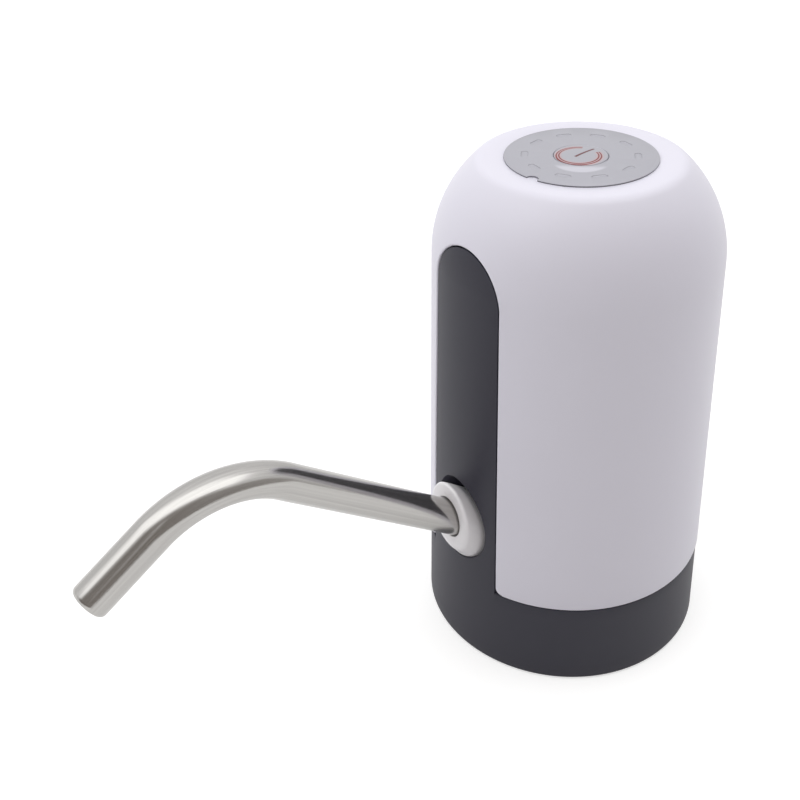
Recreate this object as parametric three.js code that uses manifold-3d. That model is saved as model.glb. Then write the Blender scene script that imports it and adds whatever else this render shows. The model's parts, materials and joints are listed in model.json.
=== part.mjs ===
// Electric water jug pump: a rechargeable pump that sits on the neck of a water jug.
// Millimetres, +Z up. The origin is the centre of the base's lower rim, and the spout points along -Y.

import * as THREE from 'three';
import { mergeVertices, toCreasedNormals } from 'three/addons/utils/BufferGeometryUtils.js';
import Module from 'manifold-3d';

const degree = Math.PI / 180;

// Driving sizes of the body
const totalHeight = 131.1;
const baseRadius = 37.5;
const wallDraft = 1.33 * degree;
const domeRadius = 31.7;
const domeSweep = 46.7 * degree;
const topEdgeRadius = 3.5;
const shellWall = 2.0;
const seamHeight = 24.0;

// Clearances: gap between moulded pieces, running gap on a shaft, and the overrun of a cutting tool
const gap = 0.3;
const shaftGap = 0.1;
const overrun = 3.0;

// Front slot of the shell, and the panel that fills it
const slotTopHalfWidth = 11.6;
const slotBottomHalfWidth = 13.3;
const slotArchDrop = 25.3;
const slotCornerRadius = 2.0;
const slotEdgeRound = 0.6;
const panelRecess = 0.3;
const panelGap = 0.3;
const tongueLap = 3.0;
const tongueWall = 2.0;

// Outlet: how far above the seam the spout's axis crosses the front wall, and its slope
const outletLift = 17.0;
const spoutRise = 36.5 * degree;

// Spout tube
const tubeRadius = 4.38;
const tubeWall = 0.5;
const spoutStraight = 58.1;
const spoutBendRadius = 27.3;
const spoutBend = 69.9 * degree;
const spoutEnd = 19.1;
const spoutInsert = 14.9;
const spoutBendSteps = 8;
const bendFlatShare = 0.13;
const bendWideShare = 0.09;

// Outlet pocket, collar, elbow and bush, measured along the spout's axis from the front wall
const pocketRadius = 9.8;
const pocketRise = 0.5;
const pocketDepth = 7.0;
const pocketFloor = 2.0;
const pocketWall = 1.8;
const collarFaceRadius = 7.8;
const collarStand = 2.6;
const collarEdgeRound = 1.1;
const collarLean = 3.5 * degree;
const elbowRadius = 7.6;
const elbowWall = 1.3;
const elbowEndWall = 1.2;
const elbowFlangeRadius = 9.2;
const elbowFlange = 1.4;
const bushFloor = 1.1;
const bushPort = 3.4;

// Base ring, jug socket and deck
const deckWall = 2.2;
const baseWall = 2.2;
const baseEdgeRound = 0.6;
const socketInset = 6.5;
const socketWall = 1.8;
const socketRibs = 12;
const socketRibWidth = 1.5;
const socketRibLift = 1.0;
const spigotHeight = 4.0;
const spigotWall = 1.8;

// Grip sleeve for the jug's neck: how far its lips and its top washer stand in from the socket's wall
const sleeveWall = 2.4;
const sleeveLift = 1.5;
const sleeveLips = 2;
const lipReach = 1.2;
const lipHeight = 1.2;
const sleeveTopWall = 1.5;
const sleeveTopReach = 5.7;

// Inlet nozzle with its nut and gasket
const nozzleBore = 1.6;
const nozzleRadius = 3.4;
const nozzleLift = 6.0;
const ridgeDepth = 0.6;
const nozzleRidges = 3;
const ridgeShare = 0.7;
const nozzleFlangeRadius = 8.0;
const nozzleFlange = 2.0;
const nozzleStem = 3.2;
const gasketThickness = 0.7;
const nutRadius = 6.2;
const nutHeight = 3.0;
const nutSides = 6;

// Inner hoses and the small ports that they fit
const hoseRadius = 3.2;
const hoseWall = 1.1;
const portWall = 0.7;
const portRadius = 1.8;
const portRidge = 0.15;
const portLength = 4.8;
const portTip = 1.6;

// Inner frame
const chassisPlate = 2.4;
const chassisBoreRadius = 8.2;
const chassisWall = 1.8;
const chassisLedge = 1.5;
const pumpCupHeight = 10.0;
const cradleDrop = 7.0;
const screwBossRadius = 3.0;
const screwBossHeight = 2.6;
const postRadius = 1.6;
const postSpread = 6.0;

// Pump head and motor, on one upright axis; place and width in shares of the base's radius
const pumpPlace = new THREE.Vector2(-0.16, 0.1333).multiplyScalar(baseRadius);
const pumpRadius = baseRadius * 0.36;
const pumpRise = 9.7;
const coverThickness = 6.0;
const valvePlateThickness = 2.5;
const diaphragmThickness = 1.5;
const cupRadius = 3.4;
const cupWall = 0.7;
const cupHeight = 4.0;
const cups = 3;
const caseHeight = 22.6;
const caseWall = 3.3;
const caseTop = 2.0;
const cupInset = 3.7;
const cupCircle = pumpRadius - caseWall - cupInset;
const outletPort = new THREE.Vector2(-0.3333, -0.4444).multiplyScalar(pumpRadius);
const shaftRadius = 1.0;
const pivotRise = 6.6;
const wobbleTilt = 7 * degree;
const wobbleLobeRadius = 2.6;
const wobbleBelow = 1.0;
const wobbleAbove = 0.6;
const hubRadius = 2.4;
const hubHeight = 4.5;
const pinRadius = 0.8;
const pinLength = 9.4;
const camRadius = 4.6;
const camLift = 12.5;
const camHeight = 7.5;
const camShaftDepth = 3.0;
const motorInset = 1.3;
const motorWall = 1.0;
const motorBossRadius = 3.4;
const motorBossHeight = 1.4;
const endCapHeight = 3.0;
const endCapLip = 1.2;
const magnetRoom = 2.2;
const armatureFoot = 0.13;
const armatureShare = 0.6;
const armatureSlots = 5;
const armatureSlotWidth = 1.6;
const armatureSlotDepth = 2.0;
const shaftTail = 1.2;
const terminalSize = new THREE.Vector3(2.2, 0.5, 3.4);
const terminalSpread = 6.0;
const leadRoom = 6.0;

// Battery cell and its tabs; the cradle's width in a share of the room inside
const cellAside = 2.0;
const cradleShare = 0.347;
const cellHeadroom = 24.6;
const cellEdge = 0.8;
const cellCapRadius = 3.6;
const cellCapHeight = 0.8;
const tabThickness = 0.3;
const tabWidth = 5.0;
const tabLength = 14.0;

// Push button, label, switch and control board
const labelMargin = 4.85;
const labelThickness = 0.35;
const labelNotchRadius = 1.5;
const labelNotchAngle = -79 * degree;
const buttonRadius = 6.3;
const buttonStand = 0.1;
const buttonDome = 0.35;
const buttonFlangeRadius = 7.6;
const buttonFlange = 0.8;
const buttonStemRadius = 1.6;
const buttonTravel = 0.6;
const boardDrop = 15.1;
const boardThickness = 1.6;
const boardRadius = 14.0;
const boardScrewCircle = 11.0;
const boardBossRadius = 2.6;
const boardScrews = 3;
const switchSide = 6.0;
const switchHeight = 3.5;
const plungerRadius = 1.7;
const plungerStand = 0.9;
const plungerSocket = 1.2;

// Charging board and socket, at the rear
const chargeBoardLift = 5.0;
const chargeBoardWidth = 16.0;
const chargeBoardClear = 1.4;
const chargeBoardThickness = 1.2;
const usbWidth = 7.5;
const usbHeight = 2.6;
const usbLength = 5.6;
const usbWall = 0.3;
const usbCorner = 0.8;
const usbTongueWidth = 4.0;
const usbTongueThickness = 0.6;
const usbWindowMargin = 1.4;
const usbWindowCorner = 1.2;

// Screws: shank radius, head radius, head height and shank length
const caseScrew = { shank: 1.2, head: 2.8, headHeight: 1.8, length: 6.4 };
const pumpScrew = { shank: 0.9, head: 1.8, headHeight: 1.3, length: 14.0 };
const boardScrew = { shank: 0.8, head: 1.7, headHeight: 1.1, length: 6.0 };
const caseScrewMargin = 1.2;
const caseScrews = 3;
const pumpScrews = 3;
const counterbore = 1.6;

// Leads
const leadRadius = 0.7;

// Facets round a turned piece, by its size, and steps along an arc
const bodyFacets = 44;
const sleeveFacets = 28;
const mediumFacets = 24;
const headFacets = 20;
const tubeFacets = 16;
const smallFacets = 10;
const screwFacets = 8;
const leadFacets = 5;
const arcSteps = 6;

// Radii, heights and depths that follow from the sizes above
const domeRise = (domeRadius - topEdgeRadius) * Math.sin(domeSweep) + topEdgeRadius;
const domeCentreHeight = totalHeight - domeRise;
const shoulderHeight = domeCentreHeight + domeRadius * Math.sin(wallDraft);
const domeCentreRadius = wallRadius(shoulderHeight) - domeRadius * Math.cos(wallDraft);
const labelRadius = domeCentreRadius + (domeRadius - topEdgeRadius) * Math.cos(domeSweep) - labelMargin;
const chassisRadius = radiusAt(seamHeight, shellWall) - spigotWall - gap * 2;
const slotArchHeight = totalHeight - slotArchDrop;
const outletHeight = seamHeight + outletLift;
const outletReach = wallRadius(outletHeight);
const socketRadius = baseRadius - socketInset;
const sleeveRadius = socketRadius - gap;
const sleeveTopRadius = sleeveRadius - sleeveTopReach;
const caseScrewCircle = sleeveTopRadius - caseScrewMargin - caseScrew.head;
const pumpScrewCircle = pumpRadius - pumpScrew.head;
const motorRadius = pumpRadius - motorInset;
const armatureRadius = motorRadius - motorWall - magnetRoom;
const deckTop = seamHeight - gap;
const deckUnderside = deckTop - deckWall;
const chassisTop = deckTop + chassisPlate;
const shellUnderside = totalHeight - shellWall;
const pumpBore = pumpRadius + gap;
const cellBore = chassisRadius * cradleShare - chassisWall;
const cellRadius = cellBore - gap;
const batteryPlace = at(
  pumpPlace.x + pumpRadius + shaftGap + chassisWall + cellBore,
  pumpPlace.y + cellAside,
);
const chargeBoardFront = pumpPlace.y + pumpBore + chassisWall + chargeBoardClear;
const chargeBoardLength = chassisRadius - chargeBoardFront;
const chargeBoardHeight = seamHeight + chargeBoardLift;
const cellBase = chassisTop + tabThickness;
const boardHeight = totalHeight - boardDrop;
const cellHeight = boardHeight - cellHeadroom - cellBase;
const cradleHeight = cellHeight - cradleDrop;
const boardTop = boardHeight + boardThickness;
const switchTop = boardTop + switchHeight;
const chargeBoardTop = chargeBoardHeight + chargeBoardThickness;
const elbowBore = elbowRadius - elbowWall;
const bushRadius = elbowBore - gap;
const bushTop = -pocketDepth - gap;
const bushBase = -spoutInsert - gap - bushFloor;
const elbowBase = bushBase - gap - elbowEndWall;
const collarRadius = pocketRadius - pocketRise - gap - pocketDepth * Math.tan(collarLean);
const tubeBore = tubeRadius + gap;

// The elbow's level port: its height, and where it starts, meets the hose and ends, along Y
const elbowPortHeight = outletHeight + bushBase * Math.sin(spoutRise);
const elbowPortStart = -outletReach - bushBase * Math.cos(spoutRise);
const elbowFace = elbowPortStart + (bushBase - elbowBase) / Math.cos(spoutRise);
const elbowHoseEnd = elbowFace + hoseRadius * Math.tan(spoutRise) + gap;
const elbowPortEnd = elbowHoseEnd + portLength;

// The pump's base, and the levels of the pump head and motor above it
const pumpBase = elbowPortHeight + pumpRise;
const valveTop = coverThickness + valvePlateThickness;
const diaphragmTop = valveTop + diaphragmThickness;
const pivotHeight = diaphragmTop + pivotRise;
const camBase = diaphragmTop + camLift;
const camTop = camBase + camHeight;
const motorBase = diaphragmTop + caseHeight;
const motorTop = boardHeight - leadRoom - terminalSize.z - endCapHeight - pumpBase;
const motorHeight = motorTop - motorBase;

// Finishes
const whitePlastic = { color: 0xf1f0f3, roughness: 0.38, metalness: 0 };
const charcoalPlastic = { color: 0x3d3c41, roughness: 0.55, metalness: 0 };
const collarPlastic = { color: 0xe6e6ea, roughness: 0.4, metalness: 0 };
const steel = { color: 0xc9c8c4, roughness: 0.2, metalness: 1 };
const plainSteel = { color: 0xa9abad, roughness: 0.4, metalness: 1 };
const labelFilm = { color: 0xb9b9c1, roughness: 0.35, metalness: 0.6 };
const clearSilicone = { color: 0xd9d9dc, roughness: 0.6, metalness: 0 };
const darkSilicone = { color: 0x2c2c2f, roughness: 0.7, metalness: 0 };
const naturalPlastic = { color: 0xdedccf, roughness: 0.5, metalness: 0 };
const blackPlastic = { color: 0x232325, roughness: 0.5, metalness: 0 };
const brass = { color: 0xc8a95a, roughness: 0.35, metalness: 1 };
const nickel = { color: 0xc4c2bb, roughness: 0.3, metalness: 1 };
const copper = { color: 0xb4683c, roughness: 0.4, metalness: 1 };
const cellWrap = { color: 0x2b5f9e, roughness: 0.35, metalness: 0 };
const greenBoard = { color: 0x1f6a43, roughness: 0.45, metalness: 0 };
const redLead = { color: 0xb32020, roughness: 0.5, metalness: 0 };
const blackLead = { color: 0x1b1b1c, roughness: 0.5, metalness: 0 };

const wasm = await Module();
wasm.setup();

// A three.js geometry as a solid that can be joined and cut
function solid(geometry) {
  const plain = geometry.clone();
  plain.deleteAttribute('normal');
  plain.deleteAttribute('uv');
  const merged = mergeVertices(plain);
  return new wasm.Manifold(new wasm.Mesh({
    numProp: 3,
    vertProperties: new Float32Array(merged.attributes.position.array),
    triVerts: new Uint32Array(merged.index.array),
  }));
}

// The geometry of a solid, smooth over curves and sharp at edges
function geometryOf(body) {
  const mesh = body.getMesh();
  const geometry = new THREE.BufferGeometry();
  geometry.setAttribute('position', new THREE.BufferAttribute(mesh.vertProperties, 3));
  geometry.setIndex(new THREE.BufferAttribute(mesh.triVerts, 1));
  return toCreasedNormals(geometry, 35 * degree);
}

function allOf(bodies) {
  return bodies.reduce((whole, body) => whole.add(body));
}

// Turns a profile of (radius, height) points round the Z axis; one off the axis closes on itself
function revolve(profile, facets) {
  const outline = THREE.ShapeUtils.area(profile) > 0 ? [...profile] : [...profile].reverse();
  if (outline[0].x > 0) {
    outline.push(outline[0].clone());
  }
  return new THREE.LatheGeometry(outline, facets).rotateX(Math.PI / 2);
}

function at(radius, height) {
  return new THREE.Vector2(radius, height);
}

function disc(radius, low, high, facets) {
  return revolve([at(0, low), at(radius, low), at(radius, high), at(0, high)], facets);
}

function ring(inner, outer, low, high, facets) {
  return revolve([at(inner, low), at(outer, low), at(outer, high), at(inner, high)], facets);
}

function block(low, high) {
  const size = new THREE.Vector3().subVectors(high, low);
  const middle = new THREE.Vector3().addVectors(low, high).multiplyScalar(0.5);
  return new THREE.BoxGeometry(size.x, size.y, size.z).translate(middle.x, middle.y, middle.z);
}

function xyz(x, y, z) {
  return new THREE.Vector3(x, y, z);
}

// Points of an arc of (radius, height) round a centre, from one angle to another
function arc(centre, radius, from, to, steps = arcSteps) {
  return Array.from({ length: steps + 1 }, (_, i) => {
    const angle = from + (to - from) * i / steps;
    return at(centre.x + radius * Math.cos(angle), centre.y + radius * Math.sin(angle));
  });
}

// Places round a circle, as angles
function turns(count, first = Math.PI / 2) {
  return Array.from({ length: count }, (_, i) => first + 2 * Math.PI * i / count);
}

function onCircle(radius, angle) {
  return new THREE.Vector2(radius * Math.cos(angle), radius * Math.sin(angle));
}

// Skins a row of rings that have equally many points; a closed row runs back to its first ring
function loft(rings, closed) {
  const sides = rings[0].length;
  const positions = rings.flat().flatMap((p) => [p.x, p.y, p.z]);
  const index = [];
  const rows = closed ? rings.length : rings.length - 1;
  for (let row = 0; row < rows; row++) {
    const here = row * sides;
    const next = (row + 1) % rings.length * sides;
    for (let i = 0; i < sides; i++) {
      const j = (i + 1) % sides;
      index.push(here + i, here + j, next + j, here + i, next + j, next + i);
    }
  }
  if (!closed) {
    const last = (rings.length - 1) * sides;
    const firstCap = rings[0].map((p) => at(p.x, p.z));
    for (const [a, b, c] of THREE.ShapeUtils.triangulateShape(firstCap, [])) {
      index.push(a, c, b, last + a, last + b, last + c);
    }
  }
  const geometry = new THREE.BufferGeometry();
  geometry.setAttribute('position', new THREE.Float32BufferAttribute(positions, 3));
  geometry.setIndex(index);
  return geometry;
}

// The body's outer surface, moved inwards by an inset
function wallRadius(height) {
  return baseRadius - height * Math.tan(wallDraft);
}

function radiusAt(height, inset) {
  const radius = domeRadius - inset;
  const rise = height - domeCentreHeight;
  if (rise <= radius * Math.sin(wallDraft)) {
    return wallRadius(height) - inset / Math.cos(wallDraft);
  }
  return domeCentreRadius + Math.sqrt(Math.max(0, radius * radius - rise * rise));
}

function surfaceProfile(inset, low) {
  const edge = Math.max(topEdgeRadius - inset, 0);
  const middle = at(domeCentreRadius, domeCentreHeight);
  const reach = domeRadius - topEdgeRadius;
  const edgeCentre = at(middle.x + reach * Math.cos(domeSweep), middle.y + reach * Math.sin(domeSweep));
  return [
    at(radiusAt(low, inset), low),
    ...arc(middle, domeRadius - inset, wallDraft, domeSweep),
    ...arc(edgeCentre, edge, domeSweep, Math.PI / 2, 2).slice(1),
    at(0, totalHeight - inset),
  ];
}

// Point of the front surface above (x, z)
function frontDepth(x, height, inset) {
  const radius = radiusAt(height, inset);
  return -Math.sqrt(Math.max(radius * radius - x * x, 0));
}

// Outline of the arched slot, grown by an offset; its foot flares round the shell's lower corners
function slotHalfWidth(height) {
  const share = (height - seamHeight) / (slotArchHeight - seamHeight);
  return slotBottomHalfWidth + (slotTopHalfWidth - slotBottomHalfWidth) * share;
}

function slotOutline(offset, foot, flare) {
  const side = [];
  if (flare > 0) {
    const corner = at(slotHalfWidth(seamHeight) + flare, seamHeight + flare);
    side.push(at(corner.x, foot));
    side.push(...arc(corner, flare - offset, Math.PI * 1.5, Math.PI, 4));
  } else {
    side.push(at(slotHalfWidth(foot) + offset, foot));
  }
  side.push(at(slotHalfWidth((seamHeight + slotArchHeight) / 2) + offset, (seamHeight + slotArchHeight) / 2));
  const arch = arc(at(0, slotArchHeight), slotTopHalfWidth + offset, 0, Math.PI, 16);
  const mirrored = side.map((p) => at(-p.x, p.y)).reverse();
  return [...side, ...arch, ...mirrored];
}

// Cutter for the slot: straight through the wall, then opening out over the round of its edge
function slotCutter() {
  const foot = seamHeight - overrun;
  const through = slotOutline(0, foot, slotCornerRadius);
  const inner = Math.max(...through.map((p) => frontDepth(p.x, p.y, shellWall))) + overrun;
  const outer = -baseRadius - overrun;
  const rings = [through.map((p) => xyz(p.x, inner, p.y))];
  for (const angle of [0, 30, 60, 90]) {
    const offset = slotEdgeRound * (1 - Math.cos(angle * degree));
    const inset = slotEdgeRound * (1 - Math.sin(angle * degree));
    const outline = slotOutline(offset, foot, slotCornerRadius);
    rings.push(outline.map((p) => xyz(p.x, frontDepth(p.x, p.y, inset), p.y)));
  }
  rings.push(slotOutline(slotEdgeRound, foot, slotCornerRadius).map((p) => xyz(p.x, outer, p.y)));
  return loft(rings, false);
}

// An upright outline of (x, z) points, extruded along Y
function frontPrism(outline, nearY, farY) {
  const shape = new THREE.Shape(outline);
  const geometry = new THREE.ExtrudeGeometry(shape, { depth: nearY - farY, bevelEnabled: false });
  return geometry.rotateX(Math.PI / 2).translate(0, nearY, 0);
}

// The frame of the outlet: its +Z runs out along the spout's axis
const outletGroup = new THREE.Group();
outletGroup.position.set(0, -outletReach, outletHeight);
outletGroup.rotation.x = Math.PI / 2 - spoutRise;
outletGroup.updateMatrix();
const fromOutlet = outletGroup.matrix;
const toOutlet = fromOutlet.clone().invert();

// Ring of the collar, at a depth below its upright face, round an axis that leans off the spout's
function collarRing(radius, depth, lean) {
  const slope = spoutRise + lean;
  return turns(mediumFacets).map((angle) => {
    const x = radius * Math.cos(angle);
    const y = radius * Math.sin(angle);
    const along = (collarStand - depth + y * Math.sin(slope)) / Math.cos(slope);
    return xyz(x, y * Math.cos(lean) + along * Math.sin(lean), along * Math.cos(lean) - y * Math.sin(lean));
  });
}

function flatRing(radius, along, lean) {
  const lift = along * Math.tan(lean);
  return turns(mediumFacets).map((angle) => xyz(
    radius * Math.cos(angle),
    radius * Math.sin(angle) + lift,
    along,
  ));
}

function makeOuterShell() {
  const inside = surfaceProfile(shellWall, seamHeight).reverse();
  const dome = solid(revolve([...inside, ...surfaceProfile(0, seamHeight)], bodyFacets));
  const bore = disc(buttonRadius + shaftGap, shellUnderside - overrun, totalHeight + overrun, mediumFacets);
  const bosses = turns(boardScrews).map((angle) => {
    const place = onCircle(boardScrewCircle, angle);
    const boss = disc(boardBossRadius, boardTop, shellUnderside + shellWall / 2, smallFacets);
    const pilotTop = boardTop + boardScrew.length;
    const pilot = disc(boardScrew.shank + shaftGap, boardTop - overrun, pilotTop, screwFacets);
    return solid(boss.translate(place.x, place.y, 0)).subtract(solid(pilot.translate(place.x, place.y, 0)));
  });
  return allOf([dome, ...bosses])
    .subtract(solid(slotCutter()))
    .subtract(solid(bore))
    .subtract(solid(usbWindow()));
}

function usbWindow() {
  const width = usbWidth / 2 + usbWindowMargin;
  const middle = chargeBoardHeight + chargeBoardThickness + usbHeight / 2;
  const height = usbHeight / 2 + usbWindowMargin;
  const corner = at(width - usbWindowCorner, height - usbWindowCorner);
  const outline = [0, 1, 2, 3].flatMap((quarter) => {
    const sideX = quarter === 0 || quarter === 3 ? 1 : -1;
    const sideZ = quarter < 2 ? 1 : -1;
    const from = quarter * Math.PI / 2;
    return arc(at(sideX * corner.x, middle + sideZ * corner.y), usbWindowCorner, from, from + Math.PI / 2, 3);
  });
  const far = baseRadius - shellWall * 2;
  return frontPrism(outline, baseRadius + overrun, far - overrun);
}

// Base ring, jug socket and deck, as one turned profile
function baseProfile() {
  const inside = (height) => radiusAt(height, panelRecess + baseWall);
  const outside = (height) => radiusAt(height, panelRecess);
  const spigot = radiusAt(seamHeight, shellWall) - gap;
  const ledge = seamHeight - gap;
  return [
    at(outside(0) - baseEdgeRound, 0),
    ...arc(at(outside(0) - baseEdgeRound, baseEdgeRound), baseEdgeRound, -Math.PI / 4, 0, 1),
    at(outside(ledge), ledge),
    at(spigot, ledge),
    at(spigot, seamHeight + spigotHeight),
    at(spigot - spigotWall, seamHeight + spigotHeight),
    at(spigot - spigotWall, deckTop),
    at(nozzleStem + gap, deckTop),
    at(nozzleStem + gap, deckUnderside),
    at(socketRadius, deckUnderside),
    at(socketRadius, 0),
    at(socketRadius + socketWall, 0),
    at(socketRadius + socketWall, deckUnderside),
    at(inside(deckUnderside), deckUnderside),
    at(inside(0), 0),
  ];
}

// Solid of the body's own wall, between two insets, above a height
function wallBetween(outer, inner, low) {
  return solid(revolve([...surfaceProfile(inner, low).reverse(), ...surfaceProfile(outer, low)], bodyFacets));
}

// The whole room within an inset surface, above a height
function roomInside(inset, low) {
  return revolve([at(0, low), ...surfaceProfile(inset, low)], bodyFacets);
}

// Base ring with its socket, deck and spigot, the front panel on its tongue, and the outlet's pocket
function makeLowerBody() {
  const front = -baseRadius - overrun;
  const base = solid(revolve(baseProfile(), bodyFacets));
  const tongue = wallBetween(shellWall + gap, shellWall + gap + tongueWall, deckTop - gap)
    .intersect(solid(frontPrism(slotOutline(tongueLap, deckTop - gap, 0), 0, front)));
  const panel = wallBetween(panelRecess, shellWall + gap + tongueWall / 2, deckTop - gap)
    .intersect(solid(frontPrism(slotOutline(-panelGap, deckTop - gap, 0), 0, front)));
  const reach = pocketRadius + pocketRise + overrun;
  const back = -pocketDepth - pocketFloor;
  const boss = solid(outletDisc(pocketRadius + pocketWall, pocketRise, back, reach, mediumFacets))
    .intersect(solid(roomInside(shellWall + gap, deckTop - gap)));
  const pocket = solid(outletDisc(pocketRadius, pocketRise, -pocketDepth, reach, mediumFacets));
  const elbowHole = solid(outletDisc(elbowRadius + gap, 0, back - overrun, bushTop + overrun, mediumFacets));
  const screwHoles = turns(caseScrews).map((angle) => {
    const place = onCircle(caseScrewCircle, angle);
    const hole = disc(caseScrew.shank + gap, deckUnderside - overrun, deckTop + overrun, smallFacets);
    return solid(hole.translate(place.x, place.y, 0));
  });
  return allOf([base, ...socketRibSolids(), tongue, panel, boss])
    .subtract(pocket)
    .subtract(elbowHole)
    .subtract(allOf(screwHoles));
}

// A disc across the spout's axis, lifted off it by a rise, in the body's own frame
function outletDisc(radius, rise, from, to, facets) {
  return disc(radius, from, to, facets).translate(0, rise, 0).applyMatrix4(fromOutlet);
}

function socketRibSolids() {
  const inner = socketRadius + socketWall / 2;
  const outer = radiusAt(0, panelRecess + baseWall * 1.5);
  const half = socketRibWidth / 2;
  return turns(socketRibs).map((angle) => {
    const rib = block(xyz(inner, -half, socketRibLift), xyz(outer, half, deckUnderside + gap));
    return solid(rib.rotateZ(angle));
  });
}

// Silicone sleeve: a top washer for the jug's mouth, and lips for its neck
function makeNeckSleeve() {
  const top = deckUnderside - gap;
  const inner = sleeveRadius - sleeveWall;
  const lipTop = top - sleeveTopWall;
  const lips = Array.from({ length: sleeveLips }, (_, i) => {
    const middle = lipTop - (lipTop - sleeveLift) * (i + 1) / (sleeveLips + 1);
    return [
      at(inner, middle + lipHeight / 2),
      at(inner - lipReach, middle),
      at(inner, middle - lipHeight / 2),
    ];
  });
  return solid(revolve([
    at(inner, sleeveLift),
    at(sleeveRadius, sleeveLift),
    at(sleeveRadius, top),
    at(sleeveTopRadius, top),
    at(sleeveTopRadius, lipTop),
    at(inner, lipTop),
    ...lips.flat(),
  ], sleeveFacets));
}

// Collar: its bore runs along the spout's axis, and its face is cut upright and rounded at the rim
function makeCollar() {
  const rear = gap - pocketDepth;
  const edge = [0, 30, 60, 90].map((angle) => {
    const radius = collarFaceRadius - collarEdgeRound * (1 - Math.cos(angle * degree));
    return collarRing(radius, collarEdgeRound * (1 - Math.sin(angle * degree)), collarLean);
  });
  return solid(loft([
    flatRing(collarRadius, rear, collarLean),
    ...edge,
    collarRing(tubeBore, 0, 0),
    flatRing(tubeBore, rear, 0),
  ], true));
}

// Hose port: a short tube with a ridge at its tip, rising from just below z = 0
function port(length) {
  const bore = portRadius - portWall;
  return revolve([
    at(bore, -portWall),
    at(portRadius, -portWall),
    at(portRadius, length - portTip),
    at(portRadius + portRidge, length - portTip),
    at(bore + portWall / 2, length),
    at(bore, length),
  ], smallFacets);
}

// Elbow: holds the bush along the spout's axis, and turns level into a hose port.
// Its flange is trimmed where the front wall passes.
function makeElbow() {
  const shoulder = -pocketDepth - pocketFloor - gap;
  const room = roomInside(shellWall + tongueWall + gap * 2, deckTop).applyMatrix4(toOutlet);
  const flange = solid(disc(elbowFlangeRadius, shoulder - elbowFlange, shoulder, headFacets))
    .intersect(solid(room));
  const body = solid(disc(elbowRadius, elbowBase, bushTop, headFacets)).add(flange);
  const bore = solid(disc(elbowBore, bushBase - gap, bushTop + overrun, headFacets));
  const length = elbowPortEnd - elbowPortStart;
  const level = port(length).rotateX(-Math.PI / 2);
  const passage = disc(portRadius - portWall, 0, length + overrun, smallFacets).rotateX(-Math.PI / 2);
  const place = [0, elbowPortStart, elbowPortHeight];
  return body
    .add(solid(level.translate(...place).applyMatrix4(toOutlet)))
    .subtract(bore)
    .subtract(solid(passage.translate(...place).applyMatrix4(toOutlet)));
}

// Bush: a soft cup that grips the spout's foot
function makeBush() {
  return solid(revolve([
    at(bushPort, bushBase),
    at(bushRadius, bushBase),
    at(bushRadius, bushTop),
    at(tubeBore, bushTop),
    at(tubeBore, bushBase + bushFloor),
    at(bushPort, bushBase + bushFloor),
  ], headFacets));
}

// Spout: an oval-going tube, swept along its straight foot, its bend and its straight end.
// In the outlet's frame the foot runs along +Z and the bend turns towards -Y.
function spoutStation(along) {
  const bendStart = spoutStraight;
  const bendLength = spoutBendRadius * spoutBend;
  const turned = Math.min(Math.max(along - bendStart, 0) / spoutBendRadius, spoutBend);
  const before = Math.min(along, bendStart);
  const after = Math.max(along - bendStart - bendLength, 0);
  return {
    middle: xyz(
      0,
      -spoutBendRadius * (1 - Math.cos(turned)) - after * Math.sin(turned),
      before + spoutBendRadius * Math.sin(turned) + after * Math.cos(turned),
    ),
    across: xyz(0, Math.cos(turned), Math.sin(turned)),
    bentShare: Math.sin(Math.PI * Math.min(Math.max((along - bendStart) / bendLength, 0), 1)),
  };
}

function spoutRing(along, radius) {
  const { middle, across, bentShare } = spoutStation(along);
  const wide = radius * (1 + bendWideShare * bentShare);
  const flat = radius * (1 - bendFlatShare * bentShare);
  return turns(tubeFacets).map((angle) => new THREE.Vector3(wide * Math.cos(angle), 0, 0)
    .addScaledVector(across, flat * Math.sin(angle))
    .add(middle));
}

function makeSpout() {
  const bendLength = spoutBendRadius * spoutBend;
  const end = spoutStraight + bendLength + spoutEnd;
  const bend = Array.from(
    { length: spoutBendSteps + 1 },
    (_, i) => spoutStraight + bendLength * i / spoutBendSteps,
  );
  const inside = tubeRadius - tubeWall;
  const lip = tubeWall / 2;
  const outer = [-spoutInsert, ...bend, end - lip].map((along) => spoutRing(along, tubeRadius));
  const inner = [end - lip, ...bend.toReversed(), -spoutInsert].map((along) => spoutRing(along, inside));
  return solid(loft([...outer, spoutRing(end, tubeRadius - lip), ...inner], true));
}

// Suction nozzle: hose barb below, flange and stem through the deck, small port above the nut
function makeNozzle() {
  const flangeLow = deckUnderside - gasketThickness - nozzleFlange;
  const flangeTop = deckUnderside - gasketThickness;
  const nutTop = deckTop + nutHeight;
  const pitch = (flangeLow - nozzleLift) / (nozzleRidges + 1);
  const ridges = Array.from({ length: nozzleRidges }, (_, i) => {
    const low = nozzleLift + pitch * i;
    const high = low + pitch * ridgeShare;
    return [at(nozzleRadius, low), at(nozzleRadius + ridgeDepth, high), at(nozzleRadius, high)];
  });
  const portBore = portRadius - portWall;
  return solid(revolve([
    at(nozzleBore, nozzleLift),
    ...ridges.flat(),
    at(nozzleRadius, flangeLow),
    at(nozzleFlangeRadius, flangeLow),
    at(nozzleFlangeRadius, flangeTop),
    at(nozzleStem, flangeTop),
    at(nozzleStem, nutTop),
    at(portRadius, nutTop),
    at(portRadius, nutTop + portLength - portTip),
    at(portRadius + portRidge, nutTop + portLength - portTip),
    at(portBore + portWall / 2, nutTop + portLength),
    at(portBore, nutTop + portLength),
    at(portBore, flangeTop),
    at(nozzleBore, flangeLow),
  ], smallFacets));
}

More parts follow.
